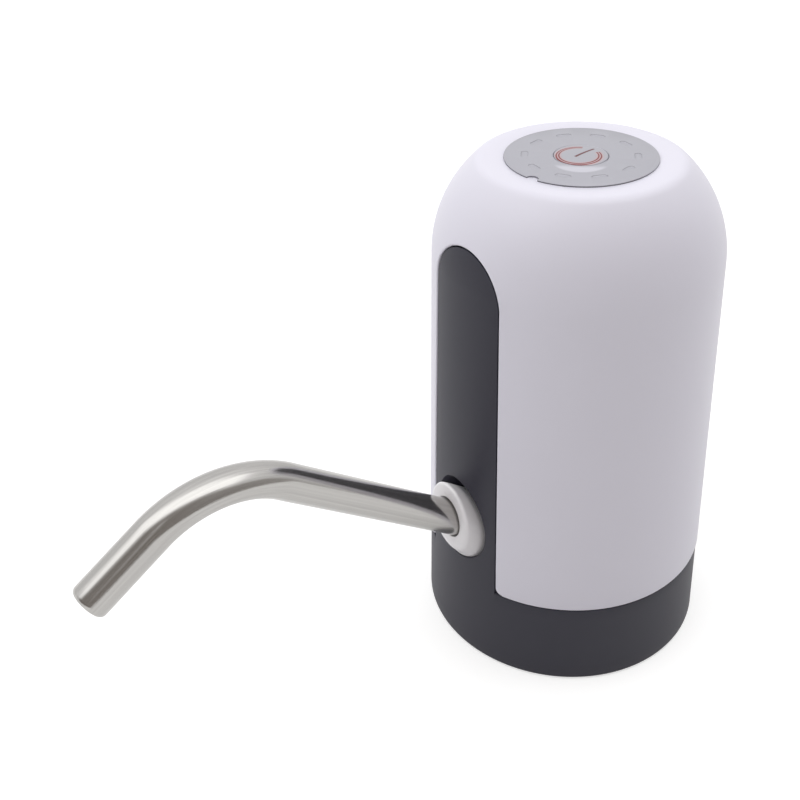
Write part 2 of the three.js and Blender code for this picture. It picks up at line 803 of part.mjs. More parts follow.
function makeNut() {
  const top = deckTop + nutHeight;
  const nut = solid(disc(nutRadius, deckTop, top, nutSides));
  return nut.subtract(solid(disc(nozzleStem + gap, deckTop - overrun, top + overrun, smallFacets)));
}

// Frame: plate on the deck, cup with a ledge for the pump head, cradle for the battery, posts and bosses
function makeChassis() {
  const plate = solid(disc(chassisRadius, deckTop, chassisTop, bodyFacets));
  const pumpCup = disc(pumpBore + chassisWall, deckTop, pumpBase + pumpCupHeight, headFacets);
  const pumpHole = disc(pumpBore, pumpBase, pumpBase + pumpCupHeight + overrun, headFacets);
  const hoseRoom = disc(pumpRadius - chassisLedge, chassisTop, pumpBase + overrun, headFacets);
  const cradle = disc(cellBore + chassisWall, deckTop, cellBase + cradleHeight, headFacets);
  const cellHole = disc(cellBore, chassisTop, cellBase + cradleHeight + overrun, headFacets);
  const toPump = (geometry) => solid(geometry.translate(pumpPlace.x, pumpPlace.y, 0));
  const toCell = (geometry) => solid(geometry.translate(batteryPlace.x, batteryPlace.y, 0));
  const bosses = turns(caseScrews).map((angle) => {
    const place = onCircle(caseScrewCircle, angle);
    return solid(disc(screwBossRadius, deckTop, chassisTop + screwBossHeight, screwFacets)
      .translate(place.x, place.y, 0));
  });
  const pilots = turns(caseScrews).map((angle) => {
    const place = onCircle(caseScrewCircle, angle);
    const top = chassisTop + screwBossHeight + overrun;
    return solid(disc(caseScrew.shank + shaftGap, deckTop - overrun, top, screwFacets)
      .translate(place.x, place.y, 0));
  });
  const posts = [-postSpread, postSpread].map((x) => {
    const y = chargeBoardFront + chargeBoardLength / 2;
    return solid(disc(postRadius, deckTop, chargeBoardHeight, screwFacets).translate(x, y, 0));
  });
  return allOf([plate, toPump(pumpCup), toCell(cradle), ...bosses, ...posts])
    .subtract(toPump(pumpHole))
    .subtract(toPump(hoseRoom))
    .subtract(toCell(cellHole))
    .subtract(allOf(chassisOpenings()))
    .subtract(allOf(pilots));
}

// Centre hole, notch round the outlet, way out for the hose, and the cradle's open front with its lead slot
function chassisOpenings() {
  const notch = pocketRadius + pocketWall + gap;
  const far = -chassisRadius - overrun;
  const slot = tabWidth / 2 + gap;
  const cradleFront = batteryPlace.y - cellBore - chassisWall - overrun;
  return [
    solid(disc(chassisBoreRadius, deckTop - overrun, chassisTop + overrun, headFacets)),
    solid(block(
      xyz(-notch, far, deckTop - overrun),
      xyz(notch, -chassisBoreRadius - chassisWall, pumpBase),
    )),
    solid(block(
      xyz(pumpPlace.x + outletPort.x - hoseRadius - gap, far / 2, chassisTop),
      xyz(hoseRadius + gap, pumpPlace.y + outletPort.y, pumpBase - chassisWall),
    )),
    solid(block(
      xyz(batteryPlace.x - slot, cradleFront, chassisTop),
      xyz(batteryPlace.x + slot, batteryPlace.y, cellBase + cellHeight),
    )),
    solid(block(
      xyz(batteryPlace.x - cellRadius * 2, cradleFront, pumpBase + pumpCupHeight),
      xyz(batteryPlace.x + cellRadius * 2, batteryPlace.y, cellBase + cellHeight),
    )),
  ];
}

// Places of the pump head's screws, in its own frame
const pumpScrewPlaces = turns(pumpScrews, -Math.PI / 2).map((angle) => onCircle(pumpScrewCircle, angle));

function pumpScrewHoles(radius, low, high) {
  return allOf(pumpScrewPlaces.map((place) => solid(disc(radius, low, high, screwFacets)
    .translate(place.x, place.y, 0))));
}

function makePumpCover() {
  const inletPort = new THREE.Vector2(-pumpPlace.x, -pumpPlace.y);
  const ports = [inletPort, outletPort].map((place) => solid(port(portLength)
    .rotateX(Math.PI)
    .translate(place.x, place.y, 0)));
  const bores = [inletPort, outletPort].map((place) => {
    const bore = disc(portRadius - portWall, -portLength - overrun, coverThickness + overrun, smallFacets);
    return solid(bore.translate(place.x, place.y, 0));
  });
  return solid(disc(pumpRadius, 0, coverThickness, headFacets))
    .add(allOf(ports))
    .subtract(allOf(bores))
    .subtract(pumpScrewHoles(pumpScrew.head + gap, -overrun, counterbore))
    .subtract(pumpScrewHoles(pumpScrew.shank + gap, -overrun, coverThickness + overrun));
}

function makeValvePlate() {
  const bore = portRadius - portWall;
  const high = valveTop + overrun;
  const vents = turns(cups).map((angle) => {
    const place = onCircle(cupCircle, angle);
    return solid(disc(bore, coverThickness - overrun, high, smallFacets).translate(place.x, place.y, 0));
  });
  return solid(disc(pumpRadius, coverThickness, valveTop, headFacets))
    .subtract(allOf(vents))
    .subtract(solid(disc(bore, coverThickness - overrun, high, smallFacets)))
    .subtract(pumpScrewHoles(pumpScrew.shank + gap, coverThickness - overrun, high));
}

function makeDiaphragm() {
  const cupTop = diaphragmTop + cupHeight;
  const domes = turns(cups).map((angle) => {
    const place = onCircle(cupCircle, angle);
    return solid(revolve([
      at(0, valveTop + gap),
      at(cupRadius, valveTop + gap),
      at(cupRadius, cupTop - cupWall),
      at(cupRadius - cupWall, cupTop),
      at(0, cupTop),
    ], smallFacets).translate(place.x, place.y, 0));
  });
  const hollows = turns(cups).map((angle) => {
    const place = onCircle(cupCircle, angle);
    return solid(disc(cupRadius - cupWall, valveTop - overrun, cupTop - cupWall, smallFacets)
      .translate(place.x, place.y, 0));
  });
  return solid(disc(pumpRadius, valveTop, diaphragmTop, headFacets))
    .add(allOf(domes))
    .subtract(allOf(hollows))
    .subtract(pumpScrewHoles(pumpScrew.shank + gap, valveTop - overrun, diaphragmTop + overrun));
}

function makePumpCase() {
  const inner = pumpRadius - caseWall;
  const hole = motorBossRadius + gap;
  const pilotTop = counterbore + pumpScrew.length + gap;
  return solid(revolve([
    at(inner, diaphragmTop),
    at(pumpRadius, diaphragmTop),
    at(pumpRadius, motorBase),
    at(hole, motorBase),
    at(hole, motorBase - caseTop),
    at(inner, motorBase - caseTop),
  ], headFacets))
    .subtract(pumpScrewHoles(pumpScrew.shank + shaftGap, diaphragmTop - overrun, pilotTop));
}

// Three-lobed plate with a hub, which rides on the inclined pin; z = 0 is its pivot
function makeWobblePlate() {
  const outline = turns(cups).flatMap((angle) => arc(
    onCircle(cupCircle, angle),
    wobbleLobeRadius,
    angle - Math.PI / cups,
    angle + Math.PI / cups,
    4,
  ));
  const plate = new THREE.ExtrudeGeometry(new THREE.Shape(outline), {
    depth: wobbleBelow + wobbleAbove,
    bevelEnabled: false,
  }).translate(0, 0, -wobbleBelow);
  const hub = disc(hubRadius, 0, hubHeight, smallFacets);
  const bore = disc(pinRadius + shaftGap, -shaftGap, hubHeight + overrun, smallFacets);
  return solid(plate).add(solid(hub)).subtract(solid(bore));
}

function makeCam() {
  const pinHole = disc(pinRadius + shaftGap, 0, pinLength + gap, smallFacets)
    .rotateX(wobbleTilt)
    .translate(0, 0, pivotHeight);
  const shaftHole = disc(shaftRadius + shaftGap, camTop - camShaftDepth, camTop + overrun, smallFacets);
  return solid(disc(camRadius, camBase, camTop, headFacets))
    .subtract(solid(pinHole))
    .subtract(solid(shaftHole));
}

function makeArmature() {
  const low = motorBase + motorHeight * armatureFoot;
  const high = low + motorHeight * armatureShare;
  const slots = turns(armatureSlots).map((angle) => solid(block(
    xyz(armatureRadius - armatureSlotDepth, -armatureSlotWidth / 2, low - overrun),
    xyz(armatureRadius + overrun, armatureSlotWidth / 2, high + overrun),
  ).rotateZ(angle)));
  return solid(ring(shaftRadius + shaftGap, armatureRadius, low, high, headFacets)).subtract(allOf(slots));
}

function makeMotorCan() {
  const bore = shaftRadius + shaftGap;
  return solid(revolve([
    at(bore, motorBase - motorBossHeight),
    at(motorBossRadius, motorBase - motorBossHeight),
    at(motorBossRadius, motorBase),
    at(motorRadius, motorBase),
    at(motorRadius, motorTop),
    at(motorRadius - motorWall, motorTop),
    at(motorRadius - motorWall, motorBase + motorWall),
    at(bore, motorBase + motorWall),
  ], headFacets));
}

function makeMotorEndCap() {
  const bore = shaftRadius + shaftGap;
  const plug = motorRadius - motorWall - gap;
  return solid(revolve([
    at(bore, motorTop - endCapLip),
    at(plug, motorTop - endCapLip),
    at(plug, motorTop),
    at(motorRadius, motorTop),
    at(motorRadius, motorTop + endCapHeight),
    at(bore, motorTop + endCapHeight),
  ], headFacets));
}

function makeCell() {
  const shoulder = cellHeight - cellCapHeight;
  return solid(revolve([
    at(0, 0),
    at(cellRadius - cellEdge, 0),
    at(cellRadius, cellEdge),
    at(cellRadius, shoulder - cellEdge),
    at(cellRadius - cellEdge, shoulder),
    at(cellCapRadius, shoulder),
    at(cellCapRadius, cellHeight),
    at(0, cellHeight),
  ], headFacets));
}

function makeLabel() {
  const notch = onCircle(labelRadius, labelNotchAngle);
  const low = totalHeight;
  const high = totalHeight + labelThickness;
  return solid(ring(buttonRadius + shaftGap, labelRadius, low, high, bodyFacets))
    .subtract(solid(disc(labelNotchRadius, low - overrun, high + overrun, smallFacets)
      .translate(notch.x, notch.y, 0)));
}

// Button: crowned cap, retaining flange under the dome, and a stem down to the switch
function makeButton() {
  const stemLow = switchTop + plungerStand + gap;
  const flangeTop = shellUnderside - gap;
  const capTop = totalHeight + labelThickness + buttonStand;
  const crown = (buttonRadius * buttonRadius + buttonDome * buttonDome) / (2 * buttonDome);
  const halfAngle = Math.asin(buttonRadius / crown);
  return solid(revolve([
    at(0, stemLow),
    at(buttonStemRadius, stemLow),
    at(buttonStemRadius, flangeTop - buttonFlange),
    at(buttonFlangeRadius, flangeTop - buttonFlange),
    at(buttonFlangeRadius, flangeTop),
    at(buttonRadius, flangeTop),
    ...arc(at(0, capTop + buttonDome - crown), crown, Math.PI / 2 - halfAngle, Math.PI / 2, 3),
  ], headFacets));
}

function makeSwitch() {
  const half = switchSide / 2;
  return solid(block(xyz(-half, -half, boardTop), xyz(half, half, switchTop)))
    .subtract(solid(disc(plungerRadius + gap, switchTop - plungerSocket, switchTop + overrun, smallFacets)));
}

function makeControlBoard() {
  const holes = turns(boardScrews).map((angle) => {
    const place = onCircle(boardScrewCircle, angle);
    return solid(disc(boardScrew.shank + gap, boardHeight - overrun, boardTop + overrun, screwFacets)
      .translate(place.x, place.y, 0));
  });
  return solid(disc(boardRadius, boardHeight, boardTop, headFacets)).subtract(allOf(holes));
}

// Charging socket: a folded steel sleeve, open at the rear wall, with its contact tongue
function usbOutline(inset) {
  const middle = chargeBoardTop + usbHeight / 2;
  const x = usbWidth / 2 - inset;
  const top = middle + usbHeight / 2 - inset;
  const low = middle - usbHeight / 2 + inset;
  return [
    at(-x + usbCorner, low),
    at(x - usbCorner, low),
    at(x, low + usbCorner),
    at(x, top),
    at(-x, top),
    at(-x, low + usbCorner),
  ];
}

function makeUsbSocket() {
  const mouth = radiusAt(chargeBoardTop, shellWall) - gap;
  const back = mouth - usbLength;
  const middle = chargeBoardTop + usbHeight / 2;
  const half = usbTongueWidth / 2;
  const tongue = block(
    xyz(-half, back, middle - usbTongueThickness / 2),
    xyz(half, mouth - usbWall, middle + usbTongueThickness / 2),
  );
  return solid(frontPrism(usbOutline(0), mouth, back))
    .subtract(solid(frontPrism(usbOutline(usbWall), mouth + overrun, back + usbWall)))
    .add(solid(tongue));
}

// Screw with its head below z = 0 and its shank above
function makeScrew(screw) {
  return solid(revolve([
    at(0, -screw.headHeight),
    at(screw.head - screw.headHeight / 2, -screw.headHeight),
    at(screw.head, 0),
    at(screw.shank, 0),
    at(screw.shank, screw.length),
    at(0, screw.length),
  ], screwFacets));
}

// A round section, solid or hollow, swept along a curve
function swept(curve, radius, bore, facets, steps) {
  const section = new THREE.Shape().absarc(0, 0, radius, 0, Math.PI * 2, false);
  if (bore > 0) {
    section.holes.push(new THREE.Path().absarc(0, 0, bore, 0, Math.PI * 2, true));
  }
  return solid(new THREE.ExtrudeGeometry(section, {
    extrudePath: curve,
    curveSegments: facets / 2,
    steps,
    bevelEnabled: false,
  }));
}

// Outlet hose: down from the pump's port, round, and onto the elbow's level port
function makeOutletHose() {
  const x = pumpPlace.x + outletPort.x;
  const y = pumpPlace.y + outletPort.y;
  const portEnd = xyz(x, y, pumpBase - portLength);
  const elbowEnd = xyz(0, elbowPortEnd, elbowPortHeight);
  const path = new THREE.CurvePath();
  path.add(new THREE.LineCurve3(xyz(x, y, pumpBase - gap), portEnd));
  path.add(new THREE.CubicBezierCurve3(
    portEnd,
    xyz(x, y, elbowPortHeight),
    xyz(0, (elbowPortEnd + y) / 2, elbowPortHeight),
    elbowEnd,
  ));
  path.add(new THREE.LineCurve3(elbowEnd, xyz(0, elbowHoseEnd, elbowPortHeight)));
  return swept(path, hoseRadius, hoseRadius - hoseWall, smallFacets, 8);
}

// Lead between two ends, straight out of both
function makeLead(from, to, waist) {
  const straight = leadRadius * 3;
  const points = [
    from,
    from.clone().setZ(from.z + straight),
    ...waist,
    to.clone().setZ(to.z - straight),
    to,
  ];
  return swept(new THREE.CatmullRomCurve3(points), leadRadius, 0, leadFacets, points.length * 2);
}

const pump = new THREE.Group();
const pumpGroup = new THREE.Group();
const cellGroup = new THREE.Group();
pumpGroup.position.set(pumpPlace.x, pumpPlace.y, pumpBase);
cellGroup.position.set(batteryPlace.x, batteryPlace.y, cellBase);
pump.add(outletGroup, pumpGroup, cellGroup);

function addPiece(name, shape, finish, parent = pump) {
  const mesh = new THREE.Mesh(geometryOf(shape), new THREE.MeshStandardMaterial(finish));
  mesh.name = name;
  parent.add(mesh);
  return mesh;
}

addPiece('outer_shell', makeOuterShell(), whitePlastic);
addPiece('lower_body', makeLowerBody(), charcoalPlastic);
addPiece('neck_sleeve', makeNeckSleeve(), darkSilicone);
addPiece('top_label', makeLabel(), labelFilm);

addPiece('outlet_collar', makeCollar(), collarPlastic, outletGroup);
addPiece('outlet_elbow', makeElbow(), naturalPlastic, outletGroup);
addPiece('spout_bush', makeBush(), clearSilicone, outletGroup);
addPiece('spout_tube', makeSpout(), steel, outletGroup);

addPiece('inlet_nozzle', makeNozzle(), naturalPlastic);
addPiece('nozzle_nut', makeNut(), naturalPlastic);
addPiece('nozzle_gasket', solid(ring(
  nozzleStem + gap,
  nozzleFlangeRadius,
  deckUnderside - gasketThickness,
  deckUnderside,
  tubeFacets,
)), darkSilicone);
addPiece('inlet_hose', solid(ring(
  hoseRadius - hoseWall,
  hoseRadius,
  deckTop + nutHeight + gap,
  pumpBase - gap,
  smallFacets,
)), clearSilicone);
addPiece('outlet_hose', makeOutletHose(), clearSilicone);
addPiece('chassis', makeChassis(), blackPlastic);

addPiece('pump_cover', makePumpCover(), naturalPlastic, pumpGroup);
addPiece('valve_plate', makeValvePlate(), naturalPlastic, pumpGroup);
addPiece('diaphragm', makeDiaphragm(), darkSilicone, pumpGroup);
addPiece('pump_case', makePumpCase(), blackPlastic, pumpGroup);
addPiece('eccentric_cam', makeCam(), naturalPlastic, pumpGroup);
addPiece('motor_shaft', solid(disc(
  shaftRadius,
  camTop - camShaftDepth + gap,
  motorTop + endCapHeight + shaftTail,
  smallFacets,
)), plainSteel, pumpGroup);
addPiece('motor_armature', makeArmature(), copper, pumpGroup);
addPiece('motor_can', makeMotorCan(), plainSteel, pumpGroup);
addPiece('motor_end_cap', makeMotorEndCap(), blackPlastic, pumpGroup);
pumpScrewPlaces.forEach((place, i) => {
  addPiece(`pump_screw_${i + 1}`, makeScrew(pumpScrew), plainSteel, pumpGroup)
    .position.set(place.x, place.y, counterbore);
});
for (const [name, side] of [['motor_terminal_plus', 1], ['motor_terminal_minus', -1]]) {
  const half = terminalSize.clone().multiplyScalar(0.5);
  const blade = block(xyz(-half.x, -half.y, 0), xyz(half.x, half.y, terminalSize.z));
  addPiece(name, solid(blade), brass, pumpGroup)
    .position.set(0, side * terminalSpread, motorTop + endCapHeight);
}

const wobbleGroup = new THREE.Group();
wobbleGroup.position.z = pivotHeight;
wobbleGroup.rotation.x = wobbleTilt;
pumpGroup.add(wobbleGroup);
addPiece('wobble_plate', makeWobblePlate(), naturalPlastic, wobbleGroup);
addPiece('cam_pin', solid(disc(pinRadius, 0, pinLength, screwFacets)), plainSteel, wobbleGroup);

addPiece('battery_cell', makeCell(), cellWrap, cellGroup);
const tabHalf = tabWidth / 2;
addPiece('battery_tab_top', solid(block(
  xyz(-tabHalf, -tabLength / 2, cellHeight),
  xyz(tabHalf, tabLength / 2, cellHeight + tabThickness),
)), nickel, cellGroup);
addPiece('battery_tab_bottom', solid(block(
  xyz(-tabHalf, -cellBore - chassisWall, -tabThickness),
  xyz(tabHalf, tabLength - cellBore - chassisWall, 0),
)), nickel, cellGroup);

addPiece('button_cap', makeButton(), labelFilm);
addPiece('switch_plunger', solid(disc(
  plungerRadius,
  switchTop - plungerSocket + buttonTravel + gap,
  switchTop + plungerStand,
  smallFacets,
)), blackPlastic);
addPiece('tact_switch', makeSwitch(), plainSteel);
addPiece('control_board', makeControlBoard(), greenBoard);
turns(boardScrews).forEach((angle, i) => {
  const place = onCircle(boardScrewCircle, angle);
  addPiece(`board_screw_${i + 1}`, makeScrew(boardScrew), plainSteel)
    .position.set(place.x, place.y, boardHeight);
});
turns(caseScrews).forEach((angle, i) => {
  const place = onCircle(caseScrewCircle, angle);
  addPiece(`case_screw_${i + 1}`, makeScrew(caseScrew), plainSteel)
    .position.set(place.x, place.y, deckUnderside);
});

addPiece('charge_board', solid(block(
  xyz(-chargeBoardWidth / 2, chargeBoardFront, chargeBoardHeight),
  xyz(chargeBoardWidth / 2, chargeBoardFront + chargeBoardLength, chargeBoardTop),
)), greenBoard);
addPiece('usb_socket', makeUsbSocket(), nickel);

// Leads end under the control board, at places that keep clear of its screws
const leadEnd = boardHeight - gap;
const terminalTop = pumpBase + motorTop + endCapHeight + terminalSize.z + gap;
const cellTop = cellBase + cellHeight + tabThickness + gap;
const leadBend = boardHeight - boardRadius;
const tabEnd = batteryPlace.y - cellBore - chassisWall + leadRadius * 2;
addPiece('motor_lead_red', makeLead(
  xyz(pumpPlace.x, pumpPlace.y + terminalSpread, terminalTop),
  xyz(pumpPlace.x, boardRadius * 0.64, leadEnd),
  [],
), redLead);
addPiece('motor_lead_black', makeLead(
  xyz(pumpPlace.x, pumpPlace.y - terminalSpread, terminalTop),
  xyz(pumpPlace.x + leadRadius, pumpPlace.y - terminalSpread - leadRadius, leadEnd),
  [],
), blackLead);
addPiece('battery_lead_red', makeLead(
  xyz(batteryPlace.x, batteryPlace.y - tabLength / 4, cellTop),
  xyz(boardRadius * 0.68, boardRadius * 0.2, leadEnd),
  [xyz(batteryPlace.x, batteryPlace.y - tabLength / 4, leadBend)],
), redLead);
addPiece('battery_lead_black', makeLead(
  xyz(batteryPlace.x, tabEnd, cellBase + gap),
  xyz(boardRadius * 0.64, -boardRadius * 0.08, leadEnd),
  [xyz(batteryPlace.x, tabEnd, cellTop - cellRadius), xyz(batteryPlace.x, tabEnd, leadBend - cellRadius)],
), blackLead);
addPiece('charge_lead', makeLead(
  xyz(0, chargeBoardFront + leadRadius * 2, chargeBoardTop + gap),
  xyz(boardRadius * 0.25, boardRadius * 0.85, leadEnd),
  [
    xyz(0, chargeBoardFront + leadRadius * 2, motorTop + pumpBase),
    xyz(0, chargeBoardFront + leadRadius, leadBend),
  ],
), redLead);

export default pump;
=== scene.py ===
"""Electric water jug pump: a domed white housing on a charcoal base, with a bent steel spout."""

import json
from math import asin, cos, pi, radians, sin, sqrt, tan

import bmesh
import bpy
from mathutils import Matrix, Vector


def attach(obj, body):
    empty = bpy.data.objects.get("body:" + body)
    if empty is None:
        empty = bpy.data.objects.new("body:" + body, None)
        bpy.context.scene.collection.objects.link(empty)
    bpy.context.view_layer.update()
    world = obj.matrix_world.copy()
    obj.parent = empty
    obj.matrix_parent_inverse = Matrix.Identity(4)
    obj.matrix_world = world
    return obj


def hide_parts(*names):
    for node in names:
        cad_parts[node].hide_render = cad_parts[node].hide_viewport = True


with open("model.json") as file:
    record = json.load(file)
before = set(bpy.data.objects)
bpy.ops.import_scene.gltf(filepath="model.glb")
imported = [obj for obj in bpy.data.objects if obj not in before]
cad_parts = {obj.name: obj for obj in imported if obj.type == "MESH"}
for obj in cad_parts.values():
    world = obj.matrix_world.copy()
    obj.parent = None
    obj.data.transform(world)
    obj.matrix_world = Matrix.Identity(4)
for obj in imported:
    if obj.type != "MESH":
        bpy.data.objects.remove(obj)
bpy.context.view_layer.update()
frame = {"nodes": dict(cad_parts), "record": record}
nodes = frame["nodes"]

MM = 0.001

# Housing, in millimetres: the same sizes as the construction
TOTAL_HEIGHT = 131.1
BASE_RADIUS = 37.5
WALL_DRAFT = radians(1.33)
DOME_RADIUS = 31.7
DOME_SWEEP = radians(46.7)
TOP_EDGE = 3.5
SHELL_WALL = 2.0
SEAM = 24.0
GAP = 0.3
RUN = 0.1
OVERRUN = 3.0

# Slot of the shell, and the panel in it
SLOT_TOP_HALF = 11.6
SLOT_BOTTOM_HALF = 13.3
SLOT_ARCH = 105.8
SLOT_CORNER = 2.0
SLOT_ROUND = 0.6
PANEL_RECESS = 0.3
TONGUE_LAP = 3.0
TONGUE_WALL = 2.0

# Window of the charging socket, in the rear wall
WINDOW_HALF = 5.15
WINDOW_LOW = 28.8
WINDOW_HIGH = 34.2
WINDOW_CORNER = 1.2
WINDOW_FLARE = 0.35
WINDOW_FLARE_OUT = 36.95
WINDOW_FLARE_IN = 36.5
WINDOW_DEEP = 7

# Outlet and spout
OUTLET = Vector((0, -36.548107, 41.0))
SPOUT_RISE = radians(36.5)
TUBE = 4.38
TUBE_WALL = 0.5
SPOUT_STRAIGHT = 58.1
BEND_RADIUS = 27.3
BEND = radians(69.9)
SPOUT_END = 19.1
SPOUT_INSERT = 14.9
BEND_FLAT = 0.13
BEND_WIDE = 0.09
SPOUT_ROLL = 1.2
POCKET = 9.8
POCKET_RISE = 0.5
POCKET_DEPTH = 7.0
POCKET_FLOOR = 2.0
POCKET_WALL = 1.8
POCKET_OUT = 16
COLLAR_FACE = 7.8
COLLAR_STAND = 2.6
COLLAR_ROUND = 1.1
COLLAR_LEAN = radians(3.5)
ELBOW = 7.6

# Base ring
DECK_TOP = SEAM - GAP
DECK_LOW = 21.5
BASE_WALL = 2.2
SOCKET = 31.0
SOCKET_WALL = 1.8
SPIGOT = 4.0
SPIGOT_WALL = 1.8
WALL_HEIGHTS = (4, 8, 12, 16, 20)
RIBS = 12
RIB_WIDTH = 1.5
RIB_CLEAR = 0.9
RIB_REACH = 34.9
RIB_LIFT = 1.0

# Pieces of the underside
SLEEVE = 30.7
SLEEVE_WALL = 2.4
SLEEVE_LOW = 1.5
SLEEVE_TOP_HOLE = 25.0
SLEEVE_TOP_WALL = 1.5
LIP_REACH = 1.2
LIPS = 2
NOZZLE_BORE = 1.6
NOZZLE = 3.4
NOZZLE_LOW = 6.0
NOZZLE_FLANGE = 8.0
NOZZLE_FLANGE_THICK = 2.0
NOZZLE_STEM = 3.2
NOZZLE_RIDGES = 3
GASKET = 0.7
NUT_TOP = DECK_TOP + 3.0
PORT = 1.8
PORT_BORE = 1.1
PORT_TOP = NUT_TOP + 4.8
SCREWS = 3
SCREW_CIRCLE = 21.0
SCREW_HEAD = 2.8
SCREW_HEAD_HIGH = 1.8
SCREW_SHANK = 1.2
SCREW_LENGTH = 6.4
BOARD_SCREWS = 3
BOARD_TOP = 117.6
BOARD_BOSS = 2.6
BOARD_SCREW_CIRCLE = 11.0
BOARD_SCREW = 0.8
BOARD_SCREW_LENGTH = 6.0

# Charging socket
USB_HALF = 3.75
USB_LOW = 30.2
USB_HIGH = 32.8
USB_MOUTH = 34.498
USB_LENGTH = 5.6
USB_WALL = 0.3
USB_CORNER = 0.8

# Label and button
LABEL = 17.7955
LABEL_THICK = 0.35
LABEL_LOW = TOTAL_HEIGHT
LABEL_TOP = TOTAL_HEIGHT + LABEL_THICK
NOTCH = 1.5
NOTCH_ANGLE = radians(-79)
DASHES = 10
DASH_FIRST = radians(12.4)
DASH_CIRCLE = 12.95
DASH_LENGTH = 3.8
DASH_WIDTH = 1.7
DASH_DEPTH = 0.24
DASH_LIFT = 0.02
BUTTON = 6.3
BUTTON_STAND = 0.1
BUTTON_DOME = 0.35

# How finely the shown pieces are turned
TURNS = 192

# How near points are joined, and which faces count as upright walls in the shading
WELD = 0.002
WALL_SLOPE = 0.1
SAME_WAY = cos(radians(3))


def turned_angle(count, first=0.0):
    return [first + 2 * pi * i / count for i in range(count)]


def quarter(steps):
    """Angles of a quarter turn, both ends included."""
    return [radians(step * 90 / steps) for step in range(steps + 1)]


def arc(centre, radius, start, end, steps):
    """Points of an arc in the plane of a profile."""
    points = []
    for i in range(steps + 1):
        angle = start + (end - start) * i / steps
        points.append((centre[0] + radius * cos(angle), centre[1] + radius * sin(angle)))
    return points


def mesh_object(name, points, faces, smooth=30):
    """An object in metres from points in millimetres, smooth except at sharp edges."""
    mesh = bpy.data.meshes.new(name)
    mesh.from_pydata([tuple(c * MM for c in p) for p in points], [], faces)
    mesh.update()
    piece = bpy.data.objects.new(name, mesh)
    bpy.context.scene.collection.objects.link(piece)
    soften(piece, smooth)
    return piece


def soften(piece, angle=30):
    """Makes normals face out, and shades smoothly up to an edge angle."""
    shape = bmesh.new()
    shape.from_mesh(piece.data)
    bmesh.ops.recalc_face_normals(shape, faces=shape.faces)
    shape.to_mesh(piece.data)
    shape.free()
    piece.data.shade_smooth()
    piece.data.set_sharp_from_angle(angle=radians(angle))


def trued(piece):
    """Shades the walls round the axis as true cones, so that cuts leave no marks in them."""
    mesh = piece.data
    normals = [corner.vector.copy() for corner in mesh.corner_normals]
    for face in mesh.polygons:
        slope = face.normal.z
        if abs(slope) > WALL_SLOPE:
            continue
        for k in face.loop_indices:
            x, y, _ = mesh.vertices[mesh.loops[k].vertex_index].co
            out = Vector((x, y, 0)).normalized()
            if out.dot(face.normal) < 0:
                out = -out
            ideal = (out * sqrt(1 - slope * slope) + Vector((0, 0, slope))).normalized()
            if ideal.dot(normals[k]) > SAME_WAY:
                normals[k] = ideal
    mesh.normals_split_custom_set(normals)
    return piece


def skin(name, rings, closed, smooth=30):
    """A skin over a row of rings with equally many points; open ends are capped."""
    sides = len(rings[0])
    points = [p for ring in rings for p in ring]
    faces = []
    rows = len(rings) if closed else len(rings) - 1
    for row in range(rows):
        here = row * sides
        there = (row + 1) % len(rings) * sides
        for i in range(sides):
            j = (i + 1) % sides
            faces.append((here + i, here + j, there + j, there + i))
    if not closed:
        faces.append(tuple(range(sides)))
        faces.append(tuple(range(len(points) - sides, len(points))))
    return mesh_object(name, points, faces, smooth)


def turned(name, profile, sides=TURNS, smooth=30):
    """A solid turned about Z from (radius, height) points; on-axis ends close it."""
    points = []
    rows = []
    for radius, height in profile:
        if radius == 0:
            rows.append([len(points)] * sides)
            points.append((0, 0, height))
        else:
            rows.append(list(range(len(points), len(points) + sides)))
            angles = turned_angle(sides)
            points += [(radius * cos(a), radius * sin(a), height) for a in angles]
    closed = profile[0][0] > 0
    faces = []
    for k in range(len(rows) if closed else len(rows) - 1):
        here, there = rows[k], rows[(k + 1) % len(rows)]
        for i in range(sides):
            j = (i + 1) % sides
            corners = []
            for corner in (here[i], here[j], there[j], there[i]):
                if corner not in corners:
                    corners.append(corner)
            if len(corners) > 2:
                faces.append(tuple(corners))
    return mesh_object(name, points, faces, smooth)


def extruded(name, outline, near, far):
    """An upright outline of (x, z) points, run along Y."""
    rings = [[(x, near, z) for x, z in outline], [(x, far, z) for x, z in outline]]
    return skin(name, rings, closed=False)


def box_piece(name, low, high):
    across, along, upward = zip(low, high)
    corners = [(x, y, z) for z in upward for y in along for x in across]
    sides = [(0, 1, 3, 2), (4, 6, 7, 5), (0, 4, 5, 1), (1, 5, 7, 3), (3, 7, 6, 2), (2, 6, 4, 0)]
    return mesh_object(name, corners, sides)


def disc(name, radius, low, high, sides):
    return turned(name, [(0, low), (radius, low), (radius, high), (0, high)], sides)


def combine(piece, operation, *tools):
    """Joins, cuts or keeps what is common with each tool, which is used up."""
    for tool in tools:
        change = piece.modifiers.new("shape", "BOOLEAN")
        change.operation = operation
        change.solver = "EXACT"
        change.object = tool
        graph = bpy.context.evaluated_depsgraph_get()
        made = bpy.data.meshes.new_from_object(piece.evaluated_get(graph))
        piece.modifiers.clear()
        piece.data = made
        bpy.data.objects.remove(tool)
        weld(piece)
    return piece


def weld(piece):
    """Joins points that a cut left almost together, so that the next one finds a closed solid."""
    shape = bmesh.new()
    shape.from_mesh(piece.data)
    bmesh.ops.remove_doubles(shape, verts=shape.verts, dist=WELD * MM)
    bmesh.ops.dissolve_degenerate(shape, edges=shape.edges, dist=WELD * MM)
    shape.to_mesh(piece.data)
    shape.free()


def moved(piece, matrix):
    piece.data.transform(matrix)
    return piece


def shifted(piece, x, y, z=0.0):
    return moved(piece, Matrix.Translation((x * MM, y * MM, z * MM)))


